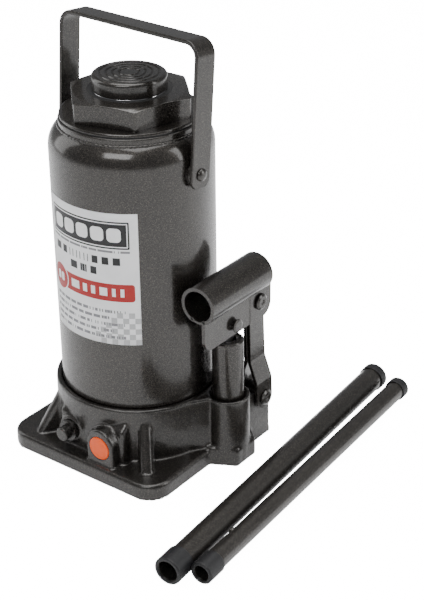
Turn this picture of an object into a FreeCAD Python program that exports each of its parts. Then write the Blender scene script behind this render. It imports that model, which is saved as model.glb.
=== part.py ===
"""Hydraulic bottle jack, welded-tank type, with a two-piece pump handle.

Millimetres. The frame stands on the centre line of the ram: Z is up from the floor,
the pump is on the +X side, and the two valves and the mouth of the handle socket
face the operator at -Y.
"""
import FreeCAD, Part
import math
import os

Vec = FreeCAD.Vector

# Heights that set the jack's size
closed_height = 285.0
deck_height = 42.0

# Ram, its cylinder and the walls round it
ram_radius = 25.5
ram_annulus = 7.5
cylinder_wall = 8.0
cylinder_bore = ram_radius + ram_annulus
cylinder_radius = cylinder_bore + cylinder_wall
cylinder_seat_depth = 17.5
cylinder_seat = deck_height - cylinder_seat_depth
foot_gasket_thickness = 1.5
piston_rest = 9.5
piston_bottom = cylinder_seat + piston_rest
piston_length = 12.0
piston_seal_length = 6.0
piston_seal_lip = 3.0
piston_seal_root = 8.0
piston_seal_hollow = 2.5
piston_ring_length = 5.0
piston_ring_wall = 7.5
piston_tail = 2.0
spigot_shoulder = 9.5
piston_spigot = ram_radius - spigot_shoulder

# Saddle
saddle_overhang = 0.5
saddle_radius = ram_radius + saddle_overhang
saddle_show = 11.2
saddle_gap = 0.4
saddle_round = 2.6
saddle_spigot = ram_radius - spigot_shoulder
saddle_spigot_height = 7.0
groove_first = 7.0
groove_margin = 5.5
groove_count = 4
groove_width = 1.6
groove_depth = 0.9

# Top nut
nut_top = closed_height - saddle_show
saddle_bottom = nut_top + saddle_gap
nut_height = 15.3
nut_bottom = nut_top - nut_height
flange_thickness = 2.0
gasket_thickness = 0.8
neck_top = nut_bottom - flange_thickness - gasket_thickness
nut_face_depth = 1.5
nut_face = nut_bottom - nut_face_depth
cylinder_top_gap = 1.0
cylinder_top = nut_face - cylinder_top_gap
nut_wall = 5.0
nut_skirt_radius = cylinder_radius + nut_wall
nut_skirt_depth = 18.0
neck_play = 0.6
neck_wall = 3.4
neck_bore = nut_skirt_radius + neck_play
neck_radius = neck_bore + neck_wall
flange_inset = 1.0
flange_radius = neck_radius - flange_inset
flange_round = 0.6
flat_inset = 9.5
nut_across_flats = 2 * (flange_radius - flat_inset)
nut_turn = -46.0
nut_crown_inset = 0.4
nut_chamfer_angle = 15.0
wiper_depth = 4.0
wiper_width = 3.4
wiper_drop = 0.2
bush_length = 20.0

# Oil tank
shoulder_overhang = 7.7
tank_radius = neck_radius + shoulder_overhang
tank_wall = 3.5
shoulder_radius = 20.0
neck_rise = 20.7
shoulder_start = neck_top - neck_rise

# Base casting
tank_seat_play = 0.4
skirt_wall = 4.3
skirt_radius = tank_radius + tank_seat_play + skirt_wall
skirt_rise = 12.5
skirt_height = deck_height + skirt_rise
skirt_rim_round = 1.6
plate_side_margin = 8.3
plate_front_margin = 11.6
base_width = 2 * (skirt_radius + plate_side_margin)
base_depth = 2 * (skirt_radius + plate_front_margin)
plate_height = 12.5
plate_corner_radius = 18.0
plate_edge_round = 3.0
rib_width = 9.5
rib_run = 18.1
rib_reach = skirt_radius + rib_run
rib_drop = 7.5
rib_top = skirt_height - rib_drop
rib_root = 6.0
rib_shoulder = 2.5
rib_crest_share = 0.4
rib_angles = (-48.0, -128.0, 48.0, 128.0)

# Carrying bail
bail_pivot_drop = 8.5
bail_pivot_height = shoulder_start - bail_pivot_drop
bail_offset = 2.3
bail_inner_half = tank_radius + bail_offset
bail_strap = 3.0
bail_width = 18.0
bail_rise = 88.0
bail_tail = 9.5
bail_bend = 8.0
bail_lean = 5.0
bail_skew = -3.0
bail_tip_round = 6.0
rivet_radius = 3.0
rivet_head_radius = 4.5
rivet_head_height = 2.4
rivet_root = 0.5
lug_radius = 8.5
lug_root = 4.0

# Pump
boss_radius = 15.8
pump_x = tank_radius + boss_radius
pump_y = 10.7
pump_radius = 11.5
pump_top = 99.0
pump_lip = 1.0
pump_foot = 28.0
plunger_radius = 6.0
plunger_rest = 6.0
plunger_seal_rise = 9.0
plunger_seal_length = 4.0
plunger_seal_depth = 1.6
boss_drop = 0.5
boss_height = skirt_height - boss_drop
boss_lip_round = 1.2
boss_recess_radius = 13.4
boss_recess_depth = 2.4
tower_foot_height = 15.0
tower_foot_round = 2.5
tower_floor = ((-14.0, -19.5), (-2.0, -19.0), (15.5, -9.5), (15.5, 12.3), (4.5, 22.0),
               (-14.0, 22.0))
tower_web = ((-33.5, -40.7), (-13.5, -28.0), (-4.0, 2.0 - boss_radius), (0.0, 0.0),
             (-2.0, boss_radius - 1.0), (-15.5, 22.3), (-33.5, 19.3))
web_inset = 0.5
lug_half = 5.4
plunger_pin_rise = 12.4
plunger_pin_height = pump_top + plunger_pin_rise
plunger_pin_radius = 4.0
plunger_head_radius = 5.2
plunger_head_height = 3.6
tongue_half = 2.8
tongue_reach = 9.0
tongue_rise = 3.0
tongue_flat = 22.0
slot_play_y = 2.6
slot_play_z = 0.9

# Link
link_top_run = 30.4
link_top_rise = 18.1
link_foot_run = 34.0
link_top_y = pump_y + link_top_run
link_top_z = pump_top + link_top_rise
link_foot_y = pump_y + link_foot_run
link_foot_z = 36.1
link_plate = 3.0
link_half_gap = 0.1
link_top_reach = 8.6
link_foot_reach = 9.4
link_bend_low = 50.0
link_bend_high = 67.0
link_bend_shift = 1.0
link_pin_radius = 4.5
link_head_radius = 6.2
link_foot_head = 2.0
link_top_head = 2.2
lug_crown_inset = 0.6
lug_foot_out = 1.2
lug_waist_out = 0.4
lug_waist_height = 18.0
lug_front_overlap = 4.0
head_round_share = 0.55

# Handle socket
socket_axis_rise = 27.2
socket_axis_z = plunger_pin_height + socket_axis_rise
socket_mouth_run = 34.3
socket_mouth_y = pump_y - socket_mouth_run
socket_end_run = 35.3
socket_end_y = pump_y + socket_end_run
socket_bore = 11.3
socket_wall = 2.6
leg_wall = 3.0
link_play = 0.4
tongue_play = 0.3
leg_gap_front = tongue_half + tongue_play
leg_gap_rear = link_half_gap + link_plate + link_play
leg_drop = 8.0
leg_bottom = plunger_pin_height - leg_drop
leg_step_run_in = 16.8
leg_step_y = pump_y + leg_step_run_in
leg_step_run = 3.0
leg_end_run = 43.7
leg_end_y = pump_y + leg_end_run
leg_front_round = 9.0
leg_rear_round = 10.0
leg_root_share = 0.55
neck_top_inset = 0.9
neck_top_drop = 5.2
neck_foot_drop = 14.0
lip_length = 16.0
short_leg_setback = 14.0

# Valves on the front of the base
front_y = -base_depth / 2
release_x = -15.5
release_z = 26.7
release_bore = 7.0
release_seat_y = front_y + 27.0
release_ball_radius = 4.0
release_tip_gap = 0.2
release_collar_radius = 7.8
release_collar_width = 3.0
release_stem_radius = 5.3
release_head_round = 1.2
release_notch_setback = 5.6
release_notch_half = 3.4
release_notch_width = 2.4
release_seal_y = front_y + 14.5
release_seal_width = 1.6
release_seal_depth = 1.2
release_boss_radius = 10.5
release_boss_y = front_y + 11.0
release_collar_gap = 0.2
release_collar_y = release_boss_y - release_collar_gap
release_head_y = front_y + 1.0
valve_face_round = 1.5
relief_x = 17.6
relief_z = 26.0
relief_face_y = front_y + 4.5
relief_plug_radius = 8.9
relief_plug_depth = 6.0
relief_plug_proud = 0.6
relief_plug_round = 0.5
relief_bore = 7.0
relief_seat_y = front_y + 31.0
relief_ball_radius = 3.0
relief_spring_gap = 0.6
relief_spring_inset = 2.6
relief_spring_turns = 4
relief_wire_radius = 0.8
relief_screw_gap = 0.3
relief_screw_length = 4.0
relief_screw_slot = 1.6
relief_block_half = 12.2
relief_block_top = 28.5
valve_block_left = -27.0
valve_block_right = 33.0
valve_block_y = front_y + 13.0
valve_block_top = 39.0
valve_block_crest = 45.5
valve_block_slope = 7.5
valve_block_round = 3.0
valve_block_root = 16.0

# Ball valves in the base
check_ball_radius = 3.2
check_seat_radius = 2.2
pump_chamber_radius = 5.0
pump_chamber_floor = 17.0
delivery_offset = 6.5
delivery_x = cylinder_radius + delivery_offset
delivery_y = 0.0
delivery_floor = 16.0
delivery_radius = 4.5
delivery_plug_height = 8.0
filter_offset = 7.3
filter_angle = math.radians(28.4)
filter_x = (cylinder_radius + filter_offset) * math.cos(filter_angle)
filter_y = (cylinder_radius + filter_offset) * math.sin(filter_angle)
filter_radius = 4.0
filter_height = 4.0
filter_skin = 0.8
filter_hole = 0.6
filter_hole_ring = 2.0
gallery_radius = 2.0
seat_length = 2.0
port_inset = 7.0
port_y = port_inset - cylinder_bore
port_z = 18.0
delivery_gallery_z = 21.0
delivery_port_inset = 11.0
delivery_port_x = cylinder_bore - delivery_port_inset
suction_gallery_z = 8.0

# Filler plug, on the back of the tank
filler_drop = 20.0
filler_height = shoulder_start - filler_drop
filler_angle = 120.0
filler_radius = 4.5
filler_bead = 2.5
filler_head_radius = 8.0
filler_head_height = 3.0
filler_head_sink = 0.2
filler_head_round = 1.2

# Label
label_drop = 29.0
label_height = 100.0
label_top = shoulder_start - label_drop
label_bottom = label_top - label_height
label_half_angle = 40.0
label_turn = 2.5
label_thickness = 0.25

# Handle halves, lying on the floor beside the pump
lower_bore_play = 0.2
upper_radius = 7.3
upper_wall = 1.6
lower_wall = 1.7
lower_radius = upper_radius + lower_bore_play + lower_wall
collar_wall = 1.0
lower_length = 293.0
lower_collar_radius = lower_radius + collar_wall
lower_turn = 4.3
lower_near = (pump_x + 58.0, -134.7)
upper_length = 278.0
upper_collar_radius = upper_radius + collar_wall
upper_turn = 3.4
halves_gap = 0.15
halves_pitch = 2 * math.sqrt(lower_collar_radius * upper_collar_radius) + halves_gap
upper_near = (lower_near[0] + halves_pitch - 1.0, -121.5)
near_collar_length = 16.0
far_collar_length = 8.0
collar_lip = 1.2
detent_from_end = 45.0
detent_radius = 2.6
detent_height = 1.6

# Clearances
slip = 0.05
pin_play = 0.06
side_play = 0.3
thread_play = 0.1
seat_play = 0.02

up = Vec(0, 0, 1)


def cylinder(radius, start, direction, length):
    """A round bar of one radius from start, along direction."""
    return Part.makeCylinder(radius, length, start, direction)


def bar(radius, low, high, x=0.0, y=0.0):
    """An upright round bar between two heights."""
    return cylinder(radius, Vec(x, y, low), up, high - low)


def ring(outer, inner, low, high, x=0.0, y=0.0):
    """An upright tube between two heights."""
    return bar(outer, low, high, x, y).cut(bar(inner, low - 1, high + 1, x, y))


def box(low, high):
    """A block between two corners."""
    size = [b - a for a, b in zip(low, high)]
    return Part.makeBox(size[0], size[1], size[2], Vec(*low))


def prism(points, direction):
    """A closed straight-edged outline carried along direction."""
    return Part.Face(Part.makePolygon(points + [points[0]])).extrude(direction)


def bore_between(radius, start, end):
    """A drilled passage from one point to another."""
    run = Vec(*end) - Vec(*start)
    return cylinder(radius, Vec(*start), run, run.Length)


def edges_at(shape, test):
    """The edges whose midpoint and direction pass a test."""
    found = []
    for edge in shape.Edges:
        middle = edge.valueAt((edge.FirstParameter + edge.LastParameter) / 2)
        if test(middle, edge):
            found.append(edge)
    return found


def upright(edge):
    """True for a straight edge that runs along Z."""
    first = edge.Vertexes[0].Point
    last = edge.Vertexes[-1].Point
    return abs(first.x - last.x) < 1e-6 and abs(first.y - last.y) < 1e-6


def fused(shapes):
    """All the shapes as one solid, with shared faces cleaned up."""
    return shapes[0].multiFuse(shapes[1:]).removeSplitter()


def group(shapes):
    """Several separate solids that share one node."""
    return Part.makeCompound(shapes)


def profile_turned(edges):
    """A solid of revolution about Z from a closed outline in the XZ plane."""
    return Part.Face(Part.Wire(edges)).revolve(Vec(0, 0, 0), up, 360.0)


def line(a, b):
    """A straight edge in the XZ plane between two (radius, height) points."""
    return Part.LineSegment(Vec(a[0], 0, a[1]), Vec(b[0], 0, b[1])).toShape()


def bend(a, middle, b):
    """An arc edge in the XZ plane through three (radius, height) points."""
    return Part.Arc(*[Vec(p[0], 0, p[1]) for p in (a, middle, b)]).toShape()


# ---------------------------------------------------------------- base casting

def base_plate():
    """The broad foot, with round corners and a soft upper edge."""
    half_w = base_width / 2
    half_d = base_depth / 2
    plate = box((-half_w, -half_d, 0), (half_w, half_d, plate_height))
    plate = plate.makeFillet(plate_corner_radius, edges_at(plate, lambda p, e: upright(e)))
    rim = edges_at(plate, lambda p, e: abs(p.z - plate_height) < 1e-6 and not upright(e))
    return plate.makeFillet(plate_edge_round, rim)


def base_skirt():
    """The round wall that holds the foot of the tank, solid up to the deck."""
    skirt = bar(skirt_radius, 0, skirt_height)
    rim = edges_at(skirt, lambda p, e: abs(p.z - skirt_height) < 1e-6)
    return skirt.makeFillet(skirt_rim_round, rim)


def corner_rib(angle):
    """One corner gusset: a wedge with a round crest."""
    inner = skirt_radius - rib_root
    outline = [Vec(inner, 0, 1), Vec(inner, 0, rib_top),
               Vec(skirt_radius, 0, rib_top - rib_shoulder),
               Vec(rib_reach, 0, plate_height), Vec(rib_reach, 0, 1)]
    outline = [p - Vec(0, rib_width / 2, 0) for p in outline]
    rib = prism(outline, Vec(0, rib_width, 0))
    crest = edges_at(rib, lambda p, e: abs(abs(p.y) - rib_width / 2) < 1e-6
                     and skirt_radius < p.x < rib_reach - 0.5 and plate_height < p.z)
    rib = rib.makeFillet(rib_width * rib_crest_share, crest)
    rib.rotate(Vec(0, 0, 0), up, angle)
    return rib


def valve_blocks():
    """The three thickenings on the front that hold the two valves."""
    back = valve_block_root - skirt_radius
    width = valve_block_right - valve_block_left
    side = [(valve_block_y, 1), (valve_block_y, valve_block_top),
            (valve_block_y + valve_block_slope, valve_block_crest), (back, valve_block_crest),
            (back, 1)]
    block = prism([Vec(valve_block_left, y, z) for y, z in side], Vec(width, 0, 0))
    soft = edges_at(block, lambda p, e: p.y < back - 0.5 and p.z > 1.5)
    block = block.makeFillet(valve_block_round, soft)
    nose = box((relief_x - relief_block_half, relief_face_y, 1),
               (relief_x + relief_block_half, back, relief_block_top))
    arch = cylinder(relief_block_half, Vec(relief_x, relief_face_y, relief_block_top),
                    Vec(0, 1, 0), back - relief_face_y)
    nose = fused([nose, arch])
    face = edges_at(nose, lambda p, e: abs(p.y - relief_face_y) < 1e-6 and p.z > 2)
    nose = nose.makeFillet(valve_face_round, face)
    boss = cylinder(release_boss_radius, Vec(release_x, release_boss_y, release_z),
                    Vec(0, 1, 0), back - release_boss_y)
    face = edges_at(boss, lambda p, e: abs(p.y - release_boss_y) < 1e-6)
    boss = boss.makeFillet(valve_face_round, face)
    return [block, nose, boss]


def pump_tower():
    """The pump boss, its foot on the floor and the web that ties it to the skirt."""
    tower = bar(boss_radius, 0, boss_height, pump_x, pump_y)
    lip = edges_at(tower, lambda p, e: abs(p.z - boss_height) < 1e-6)
    tower = tower.makeFillet(boss_lip_round, lip)
    foot = prism([Vec(pump_x + x, pump_y + y, 0) for x, y in tower_floor],
                 Vec(0, 0, tower_foot_height))
    foot = foot.makeFillet(tower_foot_round, edges_at(foot, lambda p, e: upright(e) or p.z > 14))
    web = prism([Vec(pump_x + x, pump_y + y, web_inset) for x, y in tower_web],
                Vec(0, 0, skirt_height - 2 * web_inset))
    return [tower, foot, web]


def link_lug():
    """The upright ear behind the pump that carries the foot of the link."""
    reach = link_foot_reach
    front = pump_y + boss_radius - lug_front_overlap
    outline = [(front, 0), (link_foot_y + reach + lug_foot_out, 0),
               (link_foot_y + reach + lug_waist_out, lug_waist_height),
               (link_foot_y + reach - lug_crown_inset, link_foot_z), (front, link_foot_z + reach)]
    side = prism([Vec(pump_x - lug_half, y, z) for y, z in outline], Vec(2 * lug_half, 0, 0))
    crown = cylinder(reach - lug_crown_inset, Vec(pump_x - lug_half, link_foot_y, link_foot_z),
                     Vec(1, 0, 0), 2 * lug_half)
    cap = box((pump_x - lug_half - 1, link_foot_y, link_foot_z),
              (pump_x + lug_half + 1, link_foot_y + reach + 5, link_foot_z + reach + 5))
    return side.cut(cap).fuse(crown)


def drilled_passages():
    """Everything that is bored or drilled in the casting."""
    chamber = pump_chamber_floor
    ports = [
        bar(tank_radius + tank_seat_play, deck_height, skirt_height + 5),
        bar(cylinder_radius + thread_play, cylinder_seat, deck_height + 1),
        bar(pump_radius + thread_play, pump_foot, boss_height + 5, pump_x, pump_y),
        bar(boss_recess_radius, boss_height - boss_recess_depth, boss_height + 5, pump_x, pump_y),
        bar(pump_chamber_radius, chamber, pump_foot + 1, pump_x, pump_y),
        bar(check_seat_radius, suction_gallery_z, chamber + 1, pump_x, pump_y),
        bar(delivery_radius, delivery_floor, deck_height + 1, delivery_x, delivery_y),
        bar(check_seat_radius, delivery_floor - 5, delivery_floor + 1, delivery_x, delivery_y),
        bar(gallery_radius, suction_gallery_z, deck_height + 1, filter_x, filter_y),
        bar(gallery_radius, delivery_gallery_z - 1, cylinder_seat + 1, delivery_port_x,
            delivery_y),
        bar(gallery_radius, port_z - 1, cylinder_seat + 1, release_x, port_y),
        bar(gallery_radius, port_z - 1, cylinder_seat + 1, relief_x, port_y),
        bar(gallery_radius, release_z, deck_height + 1, release_x, release_seat_y - 1.5),
        bore_between(gallery_radius, (filter_x, filter_y, suction_gallery_z),
                     (pump_x, pump_y, suction_gallery_z)),
        bore_between(gallery_radius * 0.9, (pump_x, pump_y, chamber + 5),
                     (delivery_x, delivery_y, delivery_floor - 4)),
        bore_between(gallery_radius, (delivery_x, delivery_y, delivery_gallery_z),
                     (delivery_port_x, delivery_y, delivery_gallery_z)),
        bore_between(gallery_radius, (release_x, release_seat_y - 1, release_z),
                     (release_x, release_seat_y + seat_length, release_z)),
        bore_between(gallery_radius, (relief_x, relief_seat_y - 1, relief_z),
                     (relief_x, relief_seat_y + seat_length, relief_z)),
        bore_between(gallery_radius, (release_x, release_seat_y + seat_length, release_z),
                     (release_x, port_y, port_z)),
        bore_between(gallery_radius, (relief_x, relief_seat_y + seat_length, relief_z),
                     (relief_x, port_y, port_z)),
        bore_between(release_bore + thread_play, (release_x, release_boss_y - 3, release_z),
                     (release_x, release_seat_y, release_z)),
        bore_between(relief_bore + thread_play, (relief_x, relief_face_y - 1, relief_z),
                     (relief_x, relief_seat_y, relief_z)),
        bore_between(relief_plug_radius + slip, (relief_x, relief_face_y - 1, relief_z),
                     (relief_x, relief_face_y + relief_plug_depth, relief_z)),
        bore_between(link_pin_radius + pin_play, (pump_x - 20, link_foot_y, link_foot_z),
                     (pump_x + 20, link_foot_y, link_foot_z)),
    ]
    return ports


def base_casting():
    """The whole foot of the jack as one casting."""
    solids = [base_plate(), base_skirt()]
    solids += [corner_rib(angle) for angle in rib_angles]
    solids += valve_blocks()
    solids += pump_tower()
    solids.append(link_lug())
    body = fused(solids)
    for hole in drilled_passages():
        body = body.cut(hole)
    return body


# ---------------------------------------------------------------- tank and cylinder

def shoulder_points(radius, reach):
    """Start, middle and end of the shoulder arc of one radius, out to a neck radius."""
    centre = tank_radius - shoulder_radius
    end = math.acos((reach - centre) / radius)
    middle = end / 2
    return [(centre + radius * math.cos(a), shoulder_start + radius * math.sin(a))
            for a in (0.0, middle, end)]


def reservoir_tank():
    """Drawn steel tube with a round shoulder and a short upright neck."""
    foot = deck_height + gasket_thickness
    outer = shoulder_points(shoulder_radius, neck_radius)
    inner = shoulder_points(shoulder_radius - tank_wall, neck_bore)
    edges = [line((tank_radius, foot), outer[0]), bend(*outer),
             line(outer[2], (neck_radius, neck_top)),
             line((neck_radius, neck_top), (neck_bore, neck_top)),
             line((neck_bore, neck_top), inner[2]), bend(*inner[::-1]),
             line(inner[0], (tank_radius - tank_wall, foot)),
             line((tank_radius - tank_wall, foot), (tank_radius, foot))]
    tank = profile_turned(edges)
    angle = math.radians(filler_angle)
    out = Vec(math.cos(angle), math.sin(angle), 0)
    hole = cylinder(filler_radius + slip, out * (tank_radius - 12) + up * filler_height, out, 24)
    return tank.cut(hole)


def filler_plug():
    """Rubber plug of the oil filler: a shank, an inner bead and a domed head."""
    angle = math.radians(filler_angle)
    out = Vec(math.cos(angle), math.sin(angle), 0)
    centre = up * filler_height
    shank = cylinder(filler_radius, centre + out * (tank_radius - tank_wall - filler_bead), out,
                     tank_wall + filler_bead + 1.5)
    head = cylinder(filler_head_radius, centre + out * (tank_radius - filler_head_sink), out,
                    filler_head_height)
    far = tank_radius - filler_head_sink + filler_head_height
    head = head.makeFillet(filler_head_round, edges_at(head, lambda p, e: abs(p.dot(out) - far) < 1e-4))
    wall = bar(tank_radius + seat_play, filler_height - 20, filler_height + 20)
    return fused([head.cut(wall), shank])


def hydraulic_cylinder():
    """Thick steel tube that the ram's piston runs in."""
    return ring(cylinder_radius, cylinder_bore, cylinder_seat + foot_gasket_thickness,
                cylinder_top)


def hexagon(across_flats, low, high, turn):
    """A hexagonal bar, with one corner at the given angle."""
    corner = across_flats / math.sqrt(3)
    points = []
    for step in range(6):
        angle = math.radians(turn + 60 * step)
        points.append(Vec(corner * math.cos(angle), corner * math.sin(angle), low))
    return prism(points, Vec(0, 0, high - low))


def top_nut():
    """Gland nut: chamfered hexagon, round flange and a skirt that screws on the cylinder."""
    corner = nut_across_flats / math.sqrt(3)
    crown = nut_across_flats / 2 - nut_crown_inset
    drop = (corner + 1 - crown) * math.tan(math.radians(nut_chamfer_angle))
    hexa = hexagon(nut_across_flats, nut_bottom - 0.5, nut_top, nut_turn)
    envelope = Part.makeCone(corner + 1, crown, drop, Vec(0, 0, nut_top - drop), up)
    lower = bar(corner + 1, nut_bottom - 2, nut_top - drop)
    hexa = hexa.common(envelope.fuse(lower))
    flange = bar(flange_radius, neck_top + gasket_thickness, nut_bottom)
    rim = edges_at(flange, lambda p, e: abs(p.z - nut_bottom) < 1e-6)
    flange = flange.makeFillet(flange_round, rim)
    skirt = bar(nut_skirt_radius, neck_top - nut_skirt_depth, nut_bottom)
    nut = fused([hexa, flange, skirt])
    nut = nut.cut(bar(cylinder_radius + thread_play, 0, nut_face))
    nut = nut.cut(bar(ram_radius + slip, 0, nut_top + 5))
    groove = bar(ram_radius + wiper_width, nut_top - wiper_depth, nut_top + 1)
    return nut.cut(groove)


def wiper_seal():
    """Rubber scraper in the mouth of the nut."""
    return ring(ram_radius + wiper_width - seat_play, ram_radius + slip,
                nut_top - wiper_depth + seat_play, nut_top - wiper_drop)


def ram_guide_bush():
    """Bronze bush in the top of the cylinder that keeps the ram straight."""
    return ring(cylinder_bore - seat_play, ram_radius + slip, cylinder_top - bush_length,
                cylinder_top)


# ---------------------------------------------------------------- ram

def ram_rod():
    """Polished ram with a spigot at each end."""
    shoulder = piston_bottom + piston_seal_length + piston_length
    rod = bar(ram_radius, shoulder, saddle_bottom)
    low = piston_bottom - piston_ring_length - piston_tail
    tail = bar(piston_spigot, low, shoulder)
    top = bar(saddle_spigot, saddle_bottom, saddle_bottom + saddle_spigot_height)
    return fused([rod, tail, top])


def ram_piston():
    """Guide piston above the seal."""
    low = piston_bottom + piston_seal_length
    return ring(cylinder_bore - slip, piston_spigot + seat_play, low, low + piston_length)


def piston_seal():
    """Rubber cup that holds the pressure."""
    cup = ring(cylinder_bore - slip, piston_spigot + seat_play, piston_bottom,
               piston_bottom + piston_seal_length)
    hollow = ring(cylinder_bore - piston_seal_lip, piston_spigot + piston_seal_root,
                  piston_bottom - 1, piston_bottom + piston_seal_hollow)
    return cup.cut(hollow)


def piston_ring():
    """Threaded ring that clamps the cup to the ram."""
    return ring(piston_spigot + piston_ring_wall, piston_spigot + seat_play,
                piston_bottom - piston_ring_length, piston_bottom)


def saddle():
    """Load cap: a round head with ring grooves against slipping."""
    cap = bar(saddle_radius, saddle_bottom, closed_height)
    rim = edges_at(cap, lambda p, e: abs(p.z - closed_height) < 1e-6)
    cap = cap.makeFillet(saddle_round, rim)
    pitch = (saddle_radius - groove_margin - groove_first) / (groove_count - 1)
    for step in range(groove_count):
        radius = groove_first + pitch * step
        cap = cap.cut(ring(radius + groove_width / 2, radius - groove_width / 2,
                           closed_height - groove_depth, closed_height + 1))
    socket = bar(saddle_spigot + seat_play, saddle_bottom - 1,
                 saddle_bottom + saddle_spigot_height + saddle_gap)
    return cap.cut(socket)


# ---------------------------------------------------------------- carrying bail

def turned_bail(shape, lean):
    """Lean a shape about the bail's pivot line, then turn that line about Z."""
    pivot = Vec(0, 0, bail_pivot_height)
    shape.rotate(pivot, Vec(1, 0, 0), -lean)
    shape.rotate(Vec(0, 0, 0), up, bail_skew)
    return shape


def arch_block(half, top, bottom, corner, depth):
    """A block with two round upper corners, centred on X and Y."""
    block = box((-half, -depth / 2, bottom), (half, depth / 2, top))
    ends = edges_at(block, lambda p, e: abs(p.z - top) < 1e-6 and abs(abs(p.x) - half) < 1e-6)
    return block.makeFillet(corner, ends)


def carry_bail():
    """Flat strap bent to a U, with a rounded eye at each end."""
    low = bail_pivot_height - bail_tail
    under = bail_pivot_height + bail_rise
    outer_half = bail_inner_half + bail_strap
    strap = arch_block(outer_half, under + bail_strap, low, bail_bend + bail_strap, bail_width)
    strap = strap.cut(arch_block(bail_inner_half, under, low - 5, bail_bend, bail_width + 4))
    tips = edges_at(strap, lambda p, e: abs(p.z - low) < 1e-6
                    and abs(abs(p.y) - bail_width / 2) < 1e-6)
    strap = strap.makeFillet(bail_tip_round, tips)
    hole = cylinder(rivet_radius + pin_play, Vec(-outer_half - 5, 0, bail_pivot_height),
                    Vec(1, 0, 0), 2 * outer_half + 10)
    return turned_bail(strap.cut(hole), bail_lean)


def bail_lugs():
    """Two round pads welded on the tank, one behind each eye of the bail."""
    pads = []
    wall = bar(tank_radius + seat_play, bail_pivot_height - 30, bail_pivot_height + 30)
    for side in (-1, 1):
        pad = cylinder(lug_radius, Vec(side * (tank_radius - lug_root), 0, bail_pivot_height),
                       Vec(side, 0, 0), bail_inner_half - side_play - tank_radius + lug_root)
        pads.append(turned_bail(pad, 0.0).cut(wall))
    return group(pads)


def bail_rivets():
    """Two dome-headed rivets that the bail turns on."""
    rivets = []
    start = bail_inner_half - side_play
    head_at = bail_inner_half + bail_strap + side_play
    for side in (-1, 1):
        shank = cylinder(rivet_radius, Vec(side * start, 0, bail_pivot_height), Vec(side, 0, 0),
                         head_at - start + rivet_root)
        dome_radius = (rivet_head_radius ** 2 + rivet_head_height ** 2) / (2 * rivet_head_height)
        dome = Part.makeSphere(dome_radius, Vec(side * (head_at + rivet_head_height - dome_radius),
                                                0, bail_pivot_height))
        slab = cylinder(rivet_head_radius + 3, Vec(side * head_at, 0, bail_pivot_height),
                        Vec(side, 0, 0), rivet_head_height + 1)
        rivets.append(turned_bail(fused([shank, dome.common(slab)]), 0.0))
    return group(rivets)


# ---------------------------------------------------------------- pump and link

def pump_cylinder():
    """Steel pump barrel, screwed into its boss."""
    low = pump_foot + foot_gasket_thickness
    barrel = bar(pump_radius, low, pump_top, pump_x, pump_y)
    barrel = barrel.makeChamfer(pump_lip, edges_at(barrel, lambda p, e: abs(p.z - pump_top) < 1e-6))
    return barrel.cut(bar(plunger_radius + slip, low - 1, pump_top + 1, pump_x, pump_y))


def tongue_outline(reach, centre_y, centre_z, half, x_from):
    """A disc across X about a pin's centre, for the rounded end of a flat bar."""
    return cylinder(reach, Vec(x_from, centre_y, centre_z), Vec(1, 0, 0), half)


def pump_plunger():
    """Plunger: a polished rod, milled flat near the top, with an oval eye for its pin."""
    left = pump_x - tongue_half
    flat_low = plunger_pin_height - tongue_flat
    rod = bar(plunger_radius, pump_foot + plunger_rest, flat_low, pump_x, pump_y)
    stem = bar(plunger_radius, flat_low - 1, pump_top + tongue_rise + 2, pump_x, pump_y)
    stem = stem.common(box((left, pump_y - plunger_radius - 1, flat_low - 1),
                           (left + 2 * tongue_half, pump_y + plunger_radius + 1,
                            plunger_pin_height)))
    tongue = box((left, pump_y - tongue_reach, pump_top + tongue_rise),
                 (left + 2 * tongue_half, pump_y + tongue_reach, plunger_pin_height))
    cap = tongue_outline(tongue_reach, pump_y, plunger_pin_height, 2 * tongue_half, left)
    body = fused([rod, stem, tongue, cap])
    seal_low = pump_foot + plunger_seal_rise
    groove = ring(plunger_radius + 1, plunger_radius - plunger_seal_depth, seal_low,
                  seal_low + plunger_seal_length, pump_x, pump_y)
    eye_radius = plunger_pin_radius + slot_play_z
    for shift in (-1, 1):
        centre = pump_y + shift * (slot_play_y - slot_play_z)
        body = body.cut(tongue_outline(eye_radius, centre, plunger_pin_height,
                                       2 * tongue_half + 2, left - 1))
    middle = box((left - 1, pump_y - slot_play_y + slot_play_z, plunger_pin_height - eye_radius),
                 (left + 2 * tongue_half + 1, pump_y + slot_play_y - slot_play_z,
                  plunger_pin_height + eye_radius))
    return body.cut(middle).cut(groove)


def plunger_seal():
    """Rubber ring in the groove of the plunger."""
    low = pump_foot + plunger_seal_rise
    return ring(plunger_radius, plunger_radius - plunger_seal_depth + seat_play, low + seat_play,
                low + plunger_seal_length - seat_play, pump_x, pump_y)


def link_side_outline():
    """The link seen from the side: two round ends joined by straight flanks."""
    top = Vec(pump_x - 15, link_top_y, link_top_z)
    foot = Vec(pump_x - 15, link_foot_y, link_foot_z)
    along = top - foot
    along.normalize()
    across = Vec(1, 0, 0).cross(along)
    corners = [foot + across * link_foot_reach, foot - across * link_foot_reach,
               top - across * link_top_reach, top + across * link_top_reach]
    bars = [prism(corners, Vec(30, 0, 0)),
            cylinder(link_foot_reach, foot, Vec(1, 0, 0), 30),
            cylinder(link_top_reach, top, Vec(1, 0, 0), 30)]
    return fused(bars)


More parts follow.
